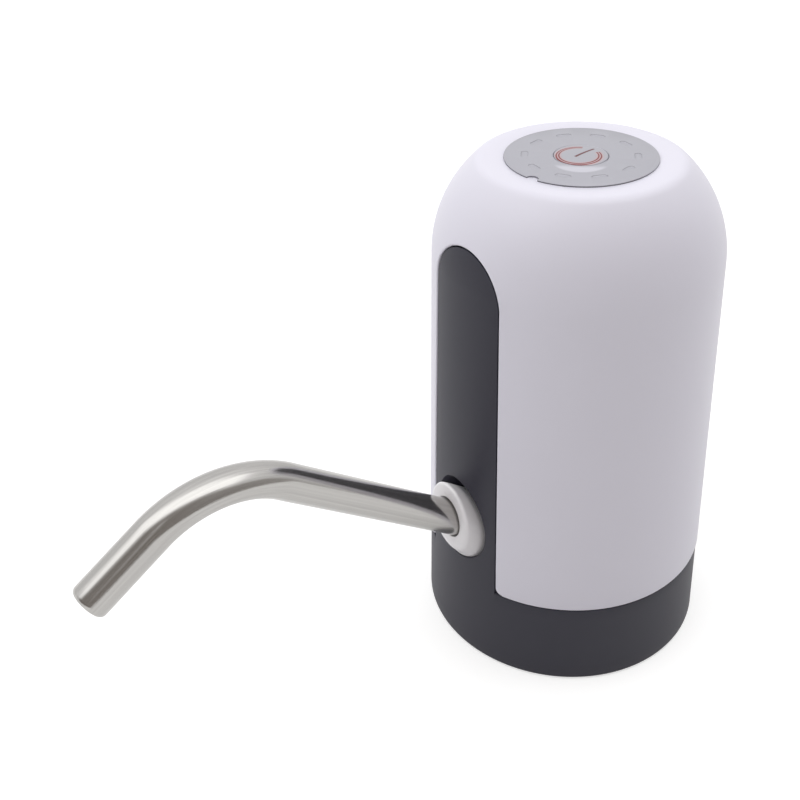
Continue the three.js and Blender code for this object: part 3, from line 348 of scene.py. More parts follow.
def gathered(name, parts):
    """One object from several, without cutting them into each other."""
    shape = bmesh.new()
    for part in parts:
        shape.from_mesh(part.data)
        bpy.data.objects.remove(part)
    mesh = bpy.data.meshes.new(name)
    shape.to_mesh(mesh)
    shape.free()
    piece = bpy.data.objects.new(name, mesh)
    bpy.context.scene.collection.objects.link(piece)
    soften(piece)
    return piece


# The body's surface of revolution
DOME_RISE = (DOME_RADIUS - TOP_EDGE) * sin(DOME_SWEEP) + TOP_EDGE
DOME_HEIGHT = TOTAL_HEIGHT - DOME_RISE
SHOULDER = DOME_HEIGHT + DOME_RADIUS * sin(WALL_DRAFT)
DOME_CENTRE = BASE_RADIUS - SHOULDER * tan(WALL_DRAFT) - DOME_RADIUS * cos(WALL_DRAFT)


def radius_at(height, inset):
    radius = DOME_RADIUS - inset
    rise = height - DOME_HEIGHT
    if rise <= radius * sin(WALL_DRAFT):
        return BASE_RADIUS - height * tan(WALL_DRAFT) - inset / cos(WALL_DRAFT)
    return DOME_CENTRE + sqrt(max(0.0, radius * radius - rise * rise))


def surface_profile(inset, low):
    """Profile of the inset surface, from a height up to the axis."""
    rows = 16
    edge = max(TOP_EDGE - inset, 0)
    reach = DOME_RADIUS - TOP_EDGE
    centre = (DOME_CENTRE + reach * cos(DOME_SWEEP), DOME_HEIGHT + reach * sin(DOME_SWEEP))
    dome = arc((DOME_CENTRE, DOME_HEIGHT), DOME_RADIUS - inset, WALL_DRAFT, DOME_SWEEP, 28)
    wall_top = dome[0][1]
    wall = []
    for i in range(rows):
        height = low + (wall_top - low) * i / rows
        wall.append((radius_at(height, inset), height))
    return [*wall, *dome, *arc(centre, edge, DOME_SWEEP, pi / 2, 8)[1:], (0, TOTAL_HEIGHT - inset)]


def front_depth(x, height, inset):
    radius = radius_at(height, inset)
    return -sqrt(max(radius * radius - x * x, 0))


def wall_between(name, outer, inner, low):
    inside = surface_profile(inner, low)
    return turned(name, [*surface_profile(outer, low), *reversed(inside)][::-1])


def solid_within(name, inset, low):
    return turned(name, [(0, low), *surface_profile(inset, low)])


def slot_half(height):
    share = (height - SEAM) / (SLOT_ARCH - SEAM)
    return SLOT_BOTTOM_HALF + (SLOT_TOP_HALF - SLOT_BOTTOM_HALF) * share


def slot_outline(offset, foot, flare):
    """Arched outline of (x, z) points, grown by an offset, with a flared or a plain foot."""
    side = []
    if flare > 0:
        corner = (slot_half(SEAM) + flare, SEAM + flare)
        side.append((corner[0], foot))
        side += arc(corner, flare - offset, pi * 1.5, pi, 10)
    else:
        side.append((slot_half(foot) + offset, foot))
    low = side[-1][1]
    rows = 14
    for i in range(1, rows):
        height = low + (SLOT_ARCH - low) * i / rows
        side.append((slot_half(height) + offset, height))
    arch = arc((0, SLOT_ARCH), SLOT_TOP_HALF + offset, 0, pi, 48)
    return [*side, *arch, *[(-x, z) for x, z in reversed(side)]]


def slot_cutter():
    foot = SEAM - OVERRUN
    through = slot_outline(0, foot, SLOT_CORNER)
    inner = max(front_depth(x, z, SHELL_WALL) for x, z in through) + OVERRUN
    rings = [[(x, inner, z) for x, z in through]]
    for angle in range(0, 91, 15):
        offset = SLOT_ROUND * (1 - cos(radians(angle)))
        inset = SLOT_ROUND * (1 - sin(radians(angle)))
        outline = slot_outline(offset, foot, SLOT_CORNER)
        rings.append([(x, front_depth(x, z, inset), z) for x, z in outline])
    widest = slot_outline(SLOT_ROUND, foot, SLOT_CORNER)
    rings.append([(x, -BASE_RADIUS - OVERRUN, z) for x, z in widest])
    return skin("slot_cutter", rings, closed=False)


# Frame of the outlet: +Z runs out along the spout
TO_BODY = Matrix.Translation(OUTLET * MM) @ Matrix.Rotation(pi / 2 - SPOUT_RISE, 4, "X")


def across_outlet(name, radius, rise, start, end):
    """A disc across the spout's axis, lifted off it by a rise."""
    return moved(shifted(disc(name, radius, start, end, sides=96), 0, rise), TO_BODY)


def housing():
    """White shell, with its slot, button hole, charging window, lower edge and screw bosses."""
    rim = 0.35
    low = surface_profile(0, SEAM + rim)
    foot = arc((low[0][0] - rim, SEAM + rim), rim, -pi / 2, 0, 4)[:-1]
    inside = surface_profile(SHELL_WALL, SEAM)[::-1]
    shell = turned("shell", [*foot, *low, *inside])
    bore_low = TOTAL_HEIGHT - SHELL_WALL - OVERRUN
    bore = disc("bore", BUTTON + RUN, bore_low, TOTAL_HEIGHT + OVERRUN, sides=96)
    bosses, pilots = [], []
    for angle in turned_angle(BOARD_SCREWS):
        place = (BOARD_SCREW_CIRCLE * cos(angle), BOARD_SCREW_CIRCLE * sin(angle))
        boss = disc("board_boss", BOARD_BOSS, BOARD_TOP, TOTAL_HEIGHT - SHELL_WALL / 2, sides=40)
        pilot_top = BOARD_TOP + BOARD_SCREW_LENGTH
        pilot = disc("pilot", BOARD_SCREW + RUN, BOARD_TOP - OVERRUN, pilot_top, sides=32)
        bosses.append(shifted(boss, *place))
        pilots.append(shifted(pilot, *place))
    combine(shell, "UNION", *bosses)
    return combine(shell, "DIFFERENCE", slot_cutter(), bore, charging_window(), *pilots)


def charging_window():
    """Cutter for the rounded window, a little wider at the outer face."""
    rings = []
    steps = [
        (BASE_RADIUS + OVERRUN, WINDOW_FLARE),
        (WINDOW_FLARE_OUT, WINDOW_FLARE),
        (WINDOW_FLARE_IN, 0.0),
        (BASE_RADIUS - WINDOW_DEEP, 0.0),
    ]
    for place, grown in steps:
        side = WINDOW_HALF - WINDOW_CORNER
        low, high = WINDOW_LOW + WINDOW_CORNER, WINDOW_HIGH - WINDOW_CORNER
        radius = WINDOW_CORNER + grown
        outline = [
            *arc((side, high), radius, 0, pi / 2, 6),
            *arc((-side, high), radius, pi / 2, pi, 6),
            *arc((-side, low), radius, pi, pi * 1.5, 6),
            *arc((side, low), radius, pi * 1.5, pi * 2, 6),
        ]
        rings.append([(x, place, z) for x, z in outline])
    return skin("window", rings, closed=False)


def screw_places():
    return [(SCREW_CIRCLE * cos(a), SCREW_CIRCLE * sin(a)) for a in turned_angle(SCREWS, pi / 2)]


def base_ring():
    """Charcoal base ring with socket, deck, spigot and ribs, and the panel with its pocket."""
    def outside(height):
        return radius_at(height, PANEL_RECESS)

    def inside(height):
        return radius_at(height, PANEL_RECESS + BASE_WALL)

    spigot = radius_at(SEAM, SHELL_WALL) - GAP
    edge_round, lip, break_edge = 0.6, 0.3, 0.4
    foot = arc((outside(0) - edge_round, edge_round), edge_round, -pi / 2, 0, 5)
    walls = [(outside(h), h) for h in WALL_HEIGHTS]
    edge = arc((outside(DECK_TOP) - lip, DECK_TOP - lip), lip, 0, pi / 2, 4)
    ring = turned("base", [
        *foot,
        *walls,
        *edge,
        (spigot, DECK_TOP),
        (spigot, SEAM + SPIGOT),
        (spigot - SPIGOT_WALL, SEAM + SPIGOT),
        (spigot - SPIGOT_WALL, DECK_TOP),
        (NOZZLE_STEM + GAP, DECK_TOP),
        (NOZZLE_STEM + GAP, DECK_LOW),
        (SOCKET, DECK_LOW),
        (SOCKET, break_edge),
        (SOCKET + break_edge, 0),
        (SOCKET + SOCKET_WALL - break_edge, 0),
        (SOCKET + SOCKET_WALL, break_edge),
        (SOCKET + SOCKET_WALL, DECK_LOW),
        (inside(DECK_LOW), DECK_LOW),
        (inside(break_edge), break_edge),
        (inside(0) + break_edge, 0),
    ])
    front = -BASE_RADIUS - OVERRUN
    low = DECK_TOP - GAP
    inner = SHELL_WALL + GAP
    tongue = combine(
        wall_between("tongue", inner, inner + TONGUE_WALL, low),
        "INTERSECT",
        extruded("tongue_outline", slot_outline(TONGUE_LAP, low, 0), 0, front),
    )
    panel = combine(
        wall_between("panel", PANEL_RECESS, inner + TONGUE_WALL / 2, low),
        "INTERSECT",
        extruded("panel_outline", slot_outline(-GAP, low, 0), 0, front),
    )
    boss_rear = -POCKET_DEPTH - POCKET_FLOOR
    boss = combine(
        across_outlet("boss", POCKET + POCKET_WALL, POCKET_RISE, boss_rear, POCKET_OUT),
        "INTERSECT",
        solid_within("boss_trim", inner, low),
    )
    combine(ring, "UNION", tongue, panel, boss)
    pocket = across_outlet("pocket", POCKET, POCKET_RISE, -POCKET_DEPTH, POCKET_OUT)
    hole_low, hole_high = -POCKET_DEPTH - OVERRUN * 2, -POCKET_DEPTH + OVERRUN
    floor_hole = across_outlet("floor_hole", ELBOW + GAP, 0, hole_low, hole_high)
    holes = []
    for x, y in screw_places():
        hole = disc("hole", SCREW_SHANK + GAP, DECK_LOW - OVERRUN, DECK_TOP + OVERRUN, sides=32)
        holes.append(shifted(hole, x, y))
    combine(ring, "DIFFERENCE", pocket, floor_hole, *holes)
    ribs = []
    for angle in turned_angle(RIBS, pi / 2):
        low = (SOCKET + RIB_CLEAR, -RIB_WIDTH / 2, RIB_LIFT)
        rib = box_piece("rib", low, (RIB_REACH, RIB_WIDTH / 2, DECK_LOW + GAP))
        ribs.append(moved(rib, Matrix.Rotation(angle, 4, "Z")))
    return trued(gathered("base", [ring, *ribs]))


def outlet_collar():
    """White collar: round along the spout, cut upright at the front, with a rounded rim."""
    sides = 96
    rear = GAP - POCKET_DEPTH
    bore = TUBE + GAP

    def upright(radius, depth, lean):
        slope = SPOUT_RISE + lean
        ring = []
        for angle in turned_angle(sides):
            x, y = radius * cos(angle), radius * sin(angle)
            along = (COLLAR_STAND - depth + y * sin(slope)) / cos(slope)
            ring.append((x, y * cos(lean) + along * sin(lean), along * cos(lean) - y * sin(lean)))
        return ring

    def flat(radius, lean):
        lift = rear * tan(lean)
        return [(radius * cos(a), radius * sin(a) + lift, rear) for a in turned_angle(sides)]

    rim = []
    for angle in quarter(8):
        radius = COLLAR_FACE - COLLAR_ROUND * (1 - cos(angle))
        rim.append(upright(radius, COLLAR_ROUND * (1 - sin(angle)), COLLAR_LEAN))
    mouth = []
    chamfer = 0.3
    for angle in quarter(4):
        mouth.append(upright(bore + chamfer * (1 - sin(angle)), chamfer * (1 - cos(angle)), 0))
    rear_radius = POCKET - POCKET_RISE - GAP - POCKET_DEPTH * tan(COLLAR_LEAN)
    rings = [flat(rear_radius, COLLAR_LEAN), *rim, *mouth, flat(bore, 0)]
    return moved(skin("collar", rings, closed=True, smooth=40), TO_BODY)


def spout_station(along):
    """Middle of the tube, the way across it in its bend's plane, and its share of flattening."""
    bend_length = BEND_RADIUS * BEND
    turned_by = min(max(along - SPOUT_STRAIGHT, 0) / BEND_RADIUS, BEND)
    before = min(along, SPOUT_STRAIGHT)
    after = max(along - SPOUT_STRAIGHT - bend_length, 0)
    middle = Vector((
        0,
        -BEND_RADIUS * (1 - cos(turned_by)) - after * sin(turned_by),
        before + BEND_RADIUS * sin(turned_by) + after * cos(turned_by),
    ))
    across = Vector((0, cos(turned_by), sin(turned_by)))
    share = sin(pi * min(max((along - SPOUT_STRAIGHT) / bend_length, 0), 1))
    return middle, across, share


def spout():
    """Bent tube, flattened in its bend, with an end that is rolled in."""
    sides = 96
    end = SPOUT_STRAIGHT + BEND_RADIUS * BEND + SPOUT_END
    lip = TUBE_WALL / 2

    def ring(along, radius):
        middle, across, share = spout_station(along)
        wide = radius * (1 + BEND_WIDE * share)
        flat = radius * (1 - BEND_FLAT * share)
        return [
            middle + Vector((wide * cos(a), 0, 0)) + across * (flat * sin(a))
            for a in turned_angle(sides)
        ]

    steps = [-SPOUT_INSERT + (SPOUT_STRAIGHT + SPOUT_INSERT) * i / 14 for i in range(14)]
    steps += [SPOUT_STRAIGHT + BEND_RADIUS * BEND * i / 48 for i in range(49)]
    steps += [end - SPOUT_END * (1 - i / 6) for i in range(1, 6)]
    rings = [ring(along, TUBE) for along in steps]
    for angle in quarter(8):
        drawn_in = (SPOUT_ROLL - lip) * (1 - cos(angle))
        rings.append(ring(end - SPOUT_ROLL * (1 - sin(angle)), TUBE - drawn_in))
    rings.append(ring(end - lip, TUBE - SPOUT_ROLL))
    rings += [ring(along, TUBE - TUBE_WALL) for along in reversed(steps)]
    piece = skin("spout", rings, closed=True)
    layer = piece.data.uv_layers.new(name="along")
    for face in piece.data.polygons:
        around_face = [piece.data.loops[k].vertex_index % sides for k in face.loop_indices]
        wraps = max(around_face) - min(around_face) > sides / 2
        for k in face.loop_indices:
            vertex = piece.data.loops[k].vertex_index
            around = vertex % sides
            if wraps and around == 0:
                around = sides
            layer.data[k].uv = (around / sides, vertex // sides / len(rings))
    return moved(piece, TO_BODY)


def label():
    """Film disc with a half-moon notch, a hole for the button, and a ring of pressed dashes."""
    edge = 0.12
    disc_hole = BUTTON + RUN
    film = turned("label", [
        (disc_hole, LABEL_LOW),
        (LABEL, LABEL_LOW),
        (LABEL, LABEL_TOP - edge),
        (LABEL - edge / 3, LABEL_TOP - edge / 3),
        (LABEL - edge, LABEL_TOP),
        (disc_hole + edge, LABEL_TOP),
        (disc_hole, LABEL_TOP - edge),
    ], sides=144)
    notch = disc("notch", NOTCH, LABEL_LOW - OVERRUN, LABEL_TOP + OVERRUN, sides=40)
    shifted(notch, LABEL * cos(NOTCH_ANGLE), LABEL * sin(NOTCH_ANGLE))
    tools = [notch]
    for angle in turned_angle(DASHES, DASH_FIRST):
        dash = pillow("dash", DASH_LENGTH, DASH_WIDTH, DASH_DEPTH)
        moved(dash, Matrix.Rotation(pi / 2, 4, "Z"))
        moved(dash, Matrix.Rotation(pi, 4, "X"))
        shifted(dash, DASH_CIRCLE, 0, LABEL_TOP + DASH_LIFT)
        tools.append(moved(dash, Matrix.Rotation(angle, 4, "Z")))
    combine(film, "DIFFERENCE", *tools)
    return gathered("label", [film])


def pillow(name, length, width, height):
    """Low rounded bar, standing on z = 0."""
    rings = []
    count = 7
    narrowing = 0.9
    for step in range(count):
        share = step / (count - 1)
        shrink = width / 2 * (1 - cos(share * pi / 2)) * narrowing
        lift = height * sin(share * pi / 2)
        radius = width / 2 - shrink
        half = (length - width) / 2
        right = arc((half, 0), radius, -pi / 2, pi / 2, 10)
        left = arc((-half, 0), radius, pi / 2, pi * 1.5, 10)
        rings.append([(x, y, lift) for x, y in [*right, *left]])
    return skin(name, rings, closed=False)


def button():
    """Crowned film cap over the button, with its flange and stem."""
    top = LABEL_TOP + BUTTON_STAND
    crown = (BUTTON**2 + BUTTON_DOME**2) / (2 * BUTTON_DOME)
    edge = 0.3
    half = asin((BUTTON - edge) / crown)
    round_edge = arc((BUTTON - edge, top - edge), edge, 0, pi / 2, 6)[:-1]
    steps = 14
    crowned = arc((0, top + BUTTON_DOME - crown), crown, pi / 2 - half, pi / 2, steps)
    flange, flange_low, flange_top, stem, stem_low = 7.6, 128.0, 128.8, 1.6, 122.3
    return turned("button", [
        (0, stem_low),
        (stem, stem_low),
        (stem, flange_low),
        (flange, flange_low),
        (flange, flange_top),
        (BUTTON, flange_top),
        *round_edge,
        *[(r if i < steps else 0, z) for i, (r, z) in enumerate(crowned)],
    ], sides=120)


def neck_sleeve():
    """Silicone sleeve with soft-edged lips and a top washer."""
    top = DECK_LOW - GAP
    inner = SLEEVE - SLEEVE_WALL
    washer = top - SLEEVE_TOP_WALL
    soft = 0.4
    profile = [
        *arc((inner + soft, SLEEVE_LOW + soft), soft, pi, pi * 1.5, 4),
        *arc((SLEEVE - soft, SLEEVE_LOW + soft), soft, pi * 1.5, pi * 2, 4),
        (SLEEVE, top),
        (SLEEVE_TOP_HOLE, top),
        *arc((SLEEVE_TOP_HOLE + soft, washer + soft), soft, pi, pi * 1.5, 4),
        (inner, washer),
    ]
    for i in range(LIPS):
        middle = washer - (washer - SLEEVE_LOW) * (i + 1) / (LIPS + 1)
        for step in range(-6, 7):
            share = step / 6
            reach = LIP_REACH * (1 - share * share) ** 2
            profile.append((inner - reach, middle - share * LIP_REACH))
    return turned("sleeve", profile, sides=144, smooth=50)


def inlet_nozzle():
    """Barbed suction nozzle with its flange, its threaded stem and the port above."""
    flange_top = DECK_LOW - GASKET
    flange_low = flange_top - NOZZLE_FLANGE_THICK
    pitch = (flange_low - NOZZLE_LOW) / (NOZZLE_RIDGES + 1)
    crest, soft_crest, crest_start, crest_end = NOZZLE + 0.6, 0.1, 0.35, 0.15
    barb_share = 0.7
    barbs = []
    for i in range(NOZZLE_RIDGES):
        low = NOZZLE_LOW + pitch * i
        high = low + pitch * barb_share
        barbs += [
            (NOZZLE, low),
            (crest - soft_crest, high - crest_start),
            (crest, high - crest_end),
            (crest - soft_crest, high),
            (NOZZLE, high),
        ]
    turns, plain, groove, groove_rise = 5, 0.4, 0.3, 0.45
    thread = []
    for i in range(turns):
        low = flange_top + plain + (NUT_TOP - flange_top - 2 * plain) * i / turns
        thread += [(NOZZLE_STEM, low), (NOZZLE_STEM - groove, low + groove_rise)]
    port_barb, port_step, port_tip = 1.6, 0.15, 0.35
    soft = 0.4
    return turned("nozzle", [
        (NOZZLE_BORE, NOZZLE_LOW),
        *barbs,
        (NOZZLE, flange_low - soft),
        (NOZZLE + soft, flange_low),
        *arc((NOZZLE_FLANGE - soft, flange_low + soft), soft, -pi / 2, 0, 4),
        (NOZZLE_FLANGE, flange_top),
        (NOZZLE_STEM, flange_top),
        *thread,
        (NOZZLE_STEM, NUT_TOP),
        (PORT, NUT_TOP),
        (PORT, PORT_TOP - port_barb),
        (PORT + port_step, PORT_TOP - port_barb),
        (PORT_BORE + port_tip, PORT_TOP),
        (PORT_BORE, PORT_TOP),
        (PORT_BORE, flange_top),
        (NOZZLE_BORE, flange_low),
    ], sides=72, smooth=35)


def gasket():
    """Flat silicone ring with round edges, between the flange and the deck."""
    half = GASKET / 2
    middle = DECK_LOW - half
    outer = arc((NOZZLE_FLANGE - half, middle), half, -pi / 2, pi / 2, 8)
    inner = arc((NOZZLE_STEM + GAP + half, middle), half, pi / 2, pi * 1.5, 8)
    return turned("gasket", [*outer, *inner], sides=72, smooth=50)


def case_screw(x, y):
    """Pan-head screw, head down, with a cross recess and a cut thread."""
    rim, crown = 0.35, 1.45
    head = arc((0, -rim), crown, -pi / 2, 0, 8)
    profile = [(0, -SCREW_HEAD_HIGH)]
    for r, z in head[1:]:
        profile.append((r * SCREW_HEAD / crown, z))
    profile += [(SCREW_HEAD, 0), (SCREW_SHANK, 0)]
    turns, start, plain, groove, groove_rise, tip = 8, 0.3, 1.0, 0.3, 0.35, 0.35
    for i in range(turns):
        low = start + (SCREW_LENGTH - plain) * i / turns
        profile += [(SCREW_SHANK - groove, low), (SCREW_SHANK, low + groove_rise)]
    profile += [(SCREW_SHANK - tip, SCREW_LENGTH), (0, SCREW_LENGTH)]
    screw = turned("screw", profile, sides=40)
    long_half, thin_half, deep = 1.5, 0.28, 0.9
    for size in ((long_half, thin_half), (thin_half, long_half)):
        low = (-size[0], -size[1], -SCREW_HEAD_HIGH - 1)
        recess = box_piece("recess", low, (size[0], size[1], -SCREW_HEAD_HIGH + deep))
        combine(screw, "DIFFERENCE", recess)
    return shifted(screw, x, y, DECK_LOW)


def usb_outline(inset):
    """Outline of the charging socket: rounded above, bevelled below."""
    x = USB_HALF - inset
    low, high = USB_LOW + inset, USB_HIGH - inset
    soft = 0.35
    return [
        (-x + USB_CORNER, low),
        (x - USB_CORNER, low),
        (x, low + USB_CORNER),
        *arc((x - soft, high - soft), soft, 0, pi / 2, 4),
        *arc((soft - x, high - soft), soft, pi / 2, pi, 4),
        (-x, low + USB_CORNER),
    ]


def charging_socket():
    """Folded steel sleeve with its contact tongue."""
    back = USB_MOUTH - USB_LENGTH
    sleeve = extruded("socket", usb_outline(0), USB_MOUTH, back)
    hollow = extruded("hollow", usb_outline(USB_WALL), USB_MOUTH + OVERRUN, back + USB_WALL)
    combine(sleeve, "DIFFERENCE", hollow)
    middle = (USB_LOW + USB_HIGH) / 2
    half, thick = 2.0, 0.3
    parts = [sleeve]
    low = (-half, back + USB_WALL / 2, middle - thick)
    parts.append(box_piece("tongue", low, (half, USB_MOUTH - USB_WALL, middle + thick)))
    return gathered("socket", parts)


class Value:
    """What a node gives; arithmetic on it adds Math nodes."""

    def __init__(self, nodes, socket):
        self.nodes = nodes
        self.socket = socket

    def worked(self, operation, *values):
        return self.nodes.node("ShaderNodeMath", {"operation": operation}, values)

    def __add__(self, other):
        return self.worked("ADD", self, other)

    def __radd__(self, other):
        return self.worked("ADD", other, self)

    def __sub__(self, other):
        return self.worked("SUBTRACT", self, other)

    def __rsub__(self, other):
        return self.worked("SUBTRACT", other, self)

    def __mul__(self, other):
        return self.worked("MULTIPLY", self, other)

    def __rmul__(self, other):
        return self.worked("MULTIPLY", other, self)

    def __pow__(self, other):
        return self.worked("POWER", self, other)

    def __gt__(self, other):
        return self.worked("GREATER_THAN", self, other)

    def __abs__(self):
        return self.worked("ABSOLUTE", self)

    def larger(self, other):
        return self.worked("MAXIMUM", self, other)


class Nodes:
    """A node tree, to which one method adds any node."""

    def __init__(self, tree):
        self.tree = tree

    def node(self, kind, settings=None, values=(), output=0):
        """Adds a node of a kind: settings first, then the values or links of its sockets."""
        made = self.tree.nodes.new(kind)
        for key, value in (settings or {}).items():
            if key == "stops":
                elements = made.color_ramp.elements
                while len(elements) < len(value):
                    elements.new(0.5)
                for stop, (place, level) in zip(elements, value):
                    stop.position = place
                    stop.color = (level, level, level, 1)
            else:
                setattr(made, key, value)
        pairs = values.items() if isinstance(values, dict) else enumerate(values)
        for key, value in pairs:
            self.join(value, made.inputs[key])
        return Value(self, made.outputs[output]) if made.outputs else None

    def fading(self, value, start, end):
        """1 before the start, 0 past the end, and soft between them."""
        settings = {"interpolation_type": "SMOOTHSTEP"}
        return self.node("ShaderNodeMapRange", settings, [value, start, end, 1.0, 0.0])

    def split(self, vector):
        return [self.node("ShaderNodeSeparateXYZ", values=[vector], output=k) for k in range(3)]

    def join(self, value, socket):
        if isinstance(value, Value):
            self.tree.links.new(value.socket, socket)
        else:
            socket.default_value = value


class Finish(Nodes):
    """A material whose surface is one shader, fed by procedural nodes."""

    def __init__(self, name, colour, roughness, metallic=0.0):
        self.material = bpy.data.materials.new(name)
        self.material.use_nodes = True
        super().__init__(self.material.node_tree)
        self.shader = self.tree.nodes["Principled BSDF"]
        self.set("Base Color", (*colour, 1.0))
        self.set("Roughness", roughness)
        self.set("Metallic", metallic)

    def set(self, socket, value):
        self.join(value, self.shader.inputs[socket])

    def place(self):
        """Object coordinates, in metres."""
        return self.node("ShaderNodeTexCoord", output="Object")

    def millimetres(self):
        """Object coordinates in millimetres, one by one."""
        return self.split(self.scaled(self.place(), (1 / MM, 1 / MM, 1 / MM)))

    def scaled(self, vector, scale):
        return self.node("ShaderNodeVectorMath", {"operation": "MULTIPLY"}, [vector, scale])

    def noise(self, scale, detail=2.0, vector=None, rough=0.5):
        """Noise from 0 to 1, with a scale in cells per metre."""
        values = {"Scale": scale, "Detail": detail, "Roughness": rough}
        values["Vector"] = self.place() if vector is None else vector
        return self.node("ShaderNodeTexNoise", values=values)

    def ramp(self, factor, *stops):
        return self.node("ShaderNodeValToRGB", {"stops": stops}, [factor])

    def mix(self, factor, first, second):
        """A colour between two colours."""
        values = {"Factor": factor, 6: first, 7: second}
        return self.node("ShaderNodeMix", {"data_type": "RGBA"}, values, output=2)

    def bump(self, height, strength, distance):
        values = {"Height": height, "Strength": strength, "Distance": distance * MM}
        self.set("Normal", self.node("ShaderNodeBump", values=values))


def shade(colour, share):
    return (*[min(c * share, 1.0) for c in colour[:3]], 1.0)


def moulded(name, colour, roughness, grain, depth, mottle):
    """Moulded plastic: fine grain in the tool's skin, and slight flow in its colour and gloss."""
    finish = Finish(name, colour, roughness)
    flow = finish.noise(45, detail=3)
    fine = finish.noise(grain, detail=2)
    finish.set("Base Color", finish.mix(flow, shade(colour, 1 - mottle), shade(colour, 1 + mottle)))
    finish.set("Roughness", roughness - 0.04 + flow * 0.05 + fine * 0.04)
    finish.bump(fine, strength=0.35, distance=depth)
    return finish


def spout_steel():
    """Polished stainless tube, with fine marks drawn along it."""
    colour = (0.500, 0.488, 0.472)
    finish = Finish("polished_steel", colour, roughness=0.12, metallic=0.90)
    along = finish.node("ShaderNodeUVMap", {"uv_map": "along"})
    drawn = finish.noise(1.0, detail=5, vector=finish.scaled(along, (64, 5.0, 1)), rough=0.65)
    fine = finish.noise(1.0, detail=3, vector=finish.scaled(along, (260, 9.0, 1)))
    broad = finish.noise(1.0, detail=2, vector=finish.scaled(along, (12, 2.0, 1)))
    lines = finish.ramp(drawn * 0.7 + fine * 0.3, (0.30, 0.0), (0.70, 1.0))
    finish.set("Base Color", finish.mix(lines, shade(colour, 0.84), shade(colour, 1.17)))
    finish.set("Roughness", 0.09 + lines * 0.07 + broad * 0.05)
    finish.bump(drawn * 0.7 + fine * 0.3, strength=0.4, distance=0.05)
    return finish


def brushed(name, colour, roughness):
    """Plain worked metal."""
    finish = Finish(name, colour, roughness, metallic=1.0)
    marks = finish.noise(900, detail=4)
    finish.set("Roughness", roughness - 0.06 + marks * 0.12)
    finish.set("Base Color", finish.mix(marks, shade(colour, 0.9), shade(colour, 1.06)))
    finish.bump(marks, strength=0.2, distance=0.02)
    return finish


FILM_GREY = (0.475, 0.472, 0.522)
FILM_ROUGHNESS = 0.40
FILM_METAL = 0.42


def film_flake(finish):
    """Fine metal flake in the film's colour, gloss and surface; gives the film's colour."""
    flake = finish.noise(5200, detail=2)
    finish.set("Roughness", FILM_ROUGHNESS - 0.05 + flake * 0.10)
    finish.bump(flake, strength=0.1, distance=0.01)
    return finish.mix(flake, shade(FILM_GREY, 0.94), shade(FILM_GREY, 1.05))


def label_film():
    """Label's grey film: painted shade on cut edge and dash sides, and a painted highlight by the
    button.
    """
    finish = Finish("label_film", FILM_GREY, FILM_ROUGHNESS, FILM_METAL)
    x, y, z = finish.millimetres()
    # Levels of the painted shade on dash sides and cut edge, and of the painted highlight by the
    # button
    dash_shade, cut_shade, highlight_level, highlight_share = 0.42, 0.35, 1.42, 0.85
    from_circle = abs((x * x + y * y) ** 0.5 - DASH_CIRCLE)
    among_dashes = finish.fading(from_circle, start=1.2, end=1.5)
    # Painted shade on the film's upright cut edge, kept off the ring of dashes
    cut = finish.fading(z, LABEL_TOP - 0.20, LABEL_TOP - 0.08) * (1 - among_dashes)
    # Painted shade on the steep sides of the pressed dashes
    upright = finish.split(finish.node("ShaderNodeNewGeometry", output="Normal"))[2]
    painted_dash_shade = finish.fading(upright, start=0.60, end=0.97) * among_dashes
    film = finish.mix(painted_dash_shade, film_flake(finish), shade(FILM_GREY, dash_shade))
    # Painted highlight: a pale half-moon just beyond the button on its side toward the camera,
    # which near and forward point to
    near_x, near_y = 2.7, -2.5
    forward_x, forward_y = 0.730, 0.683
    outer_start, outer_end, inner_start, inner_end = 5.9, 6.9, 5.6, 7.8
    from_near = ((x - near_x) ** 2.0 + (y - near_y) ** 2.0) ** 0.5
    forward = x * forward_x - y * forward_y
    outer = finish.fading(from_near, outer_start, outer_end)
    painted_highlight = outer * (1 - finish.fading(forward, inner_start, inner_end))
    film = finish.mix(painted_highlight * highlight_share, film, shade(FILM_GREY, highlight_level))
    finish.set("Base Color", finish.mix(cut, film, shade(FILM_GREY, cut_shade)))
    return finish


def button_film():
    """The label's film on the button, with the power sign printed in dark red."""
    finish = Finish("button_film", FILM_GREY, FILM_ROUGHNESS, FILM_METAL)
    ink = (0.22, 0.026, 0.026, 1)
    bar_ink = (0.14, 0.035, 0.040, 1)
    blush = (0.62, 0.40, 0.40, 1)
    x, y, z = finish.millimetres()
    sign_x, sign_y = 0.35, -1.0
    x, y = x - sign_x, y - sign_y
    reach = (x * x + y * y) ** 0.5

    def within(value, middle, half, soft):
        return finish.fading(abs(value - middle), half - soft, half + soft)

    def turned_to(angle):
        """Distance along and across a direction from the sign's middle."""
        return x * cos(angle) + y * sin(angle), y * cos(angle) - x * sin(angle)

    ring_place, ring_gap, stroke = 4.85, 0.30, 0.165
    gap_along, gap_across = turned_to(radians(102))
    bar_along, bar_across = turned_to(radians(98.7))
    bar_middle, bar_reach = 2.1, 3.4
    gap_slope = tan(radians(26))
    open_gap = finish.fading(abs(gap_across) - gap_along * gap_slope, -0.1, 0.1)
    ring = within(abs(reach - ring_place), ring_gap, stroke, 0.08) * (1 - open_gap)
    ring_blush = within(reach, ring_place, ring_gap + 0.5, 0.35) * (1 - open_gap)
    bar_width = 0.30 - bar_along * 0.01
    bar = finish.fading(abs(bar_across) - bar_width, -0.06, 0.1)
    bar = bar * within(bar_along, bar_middle, bar_reach, 0.15)
    on_top = z > LABEL_TOP
    bar = bar * on_top
    ring = ring * on_top
    film = finish.mix(ring_blush * on_top * 0.55, film_flake(finish), blush)
    finish.set("Base Color", finish.mix(bar, finish.mix(ring, film, ink), bar_ink))
    finish.set("Metallic", FILM_METAL - ring.larger(bar) * FILM_METAL)
    return finish


def dress(piece, finish):
    piece.data.materials.clear()
    piece.data.materials.append(finish.material)
    for face in piece.data.polygons:
        face.material_index = 0


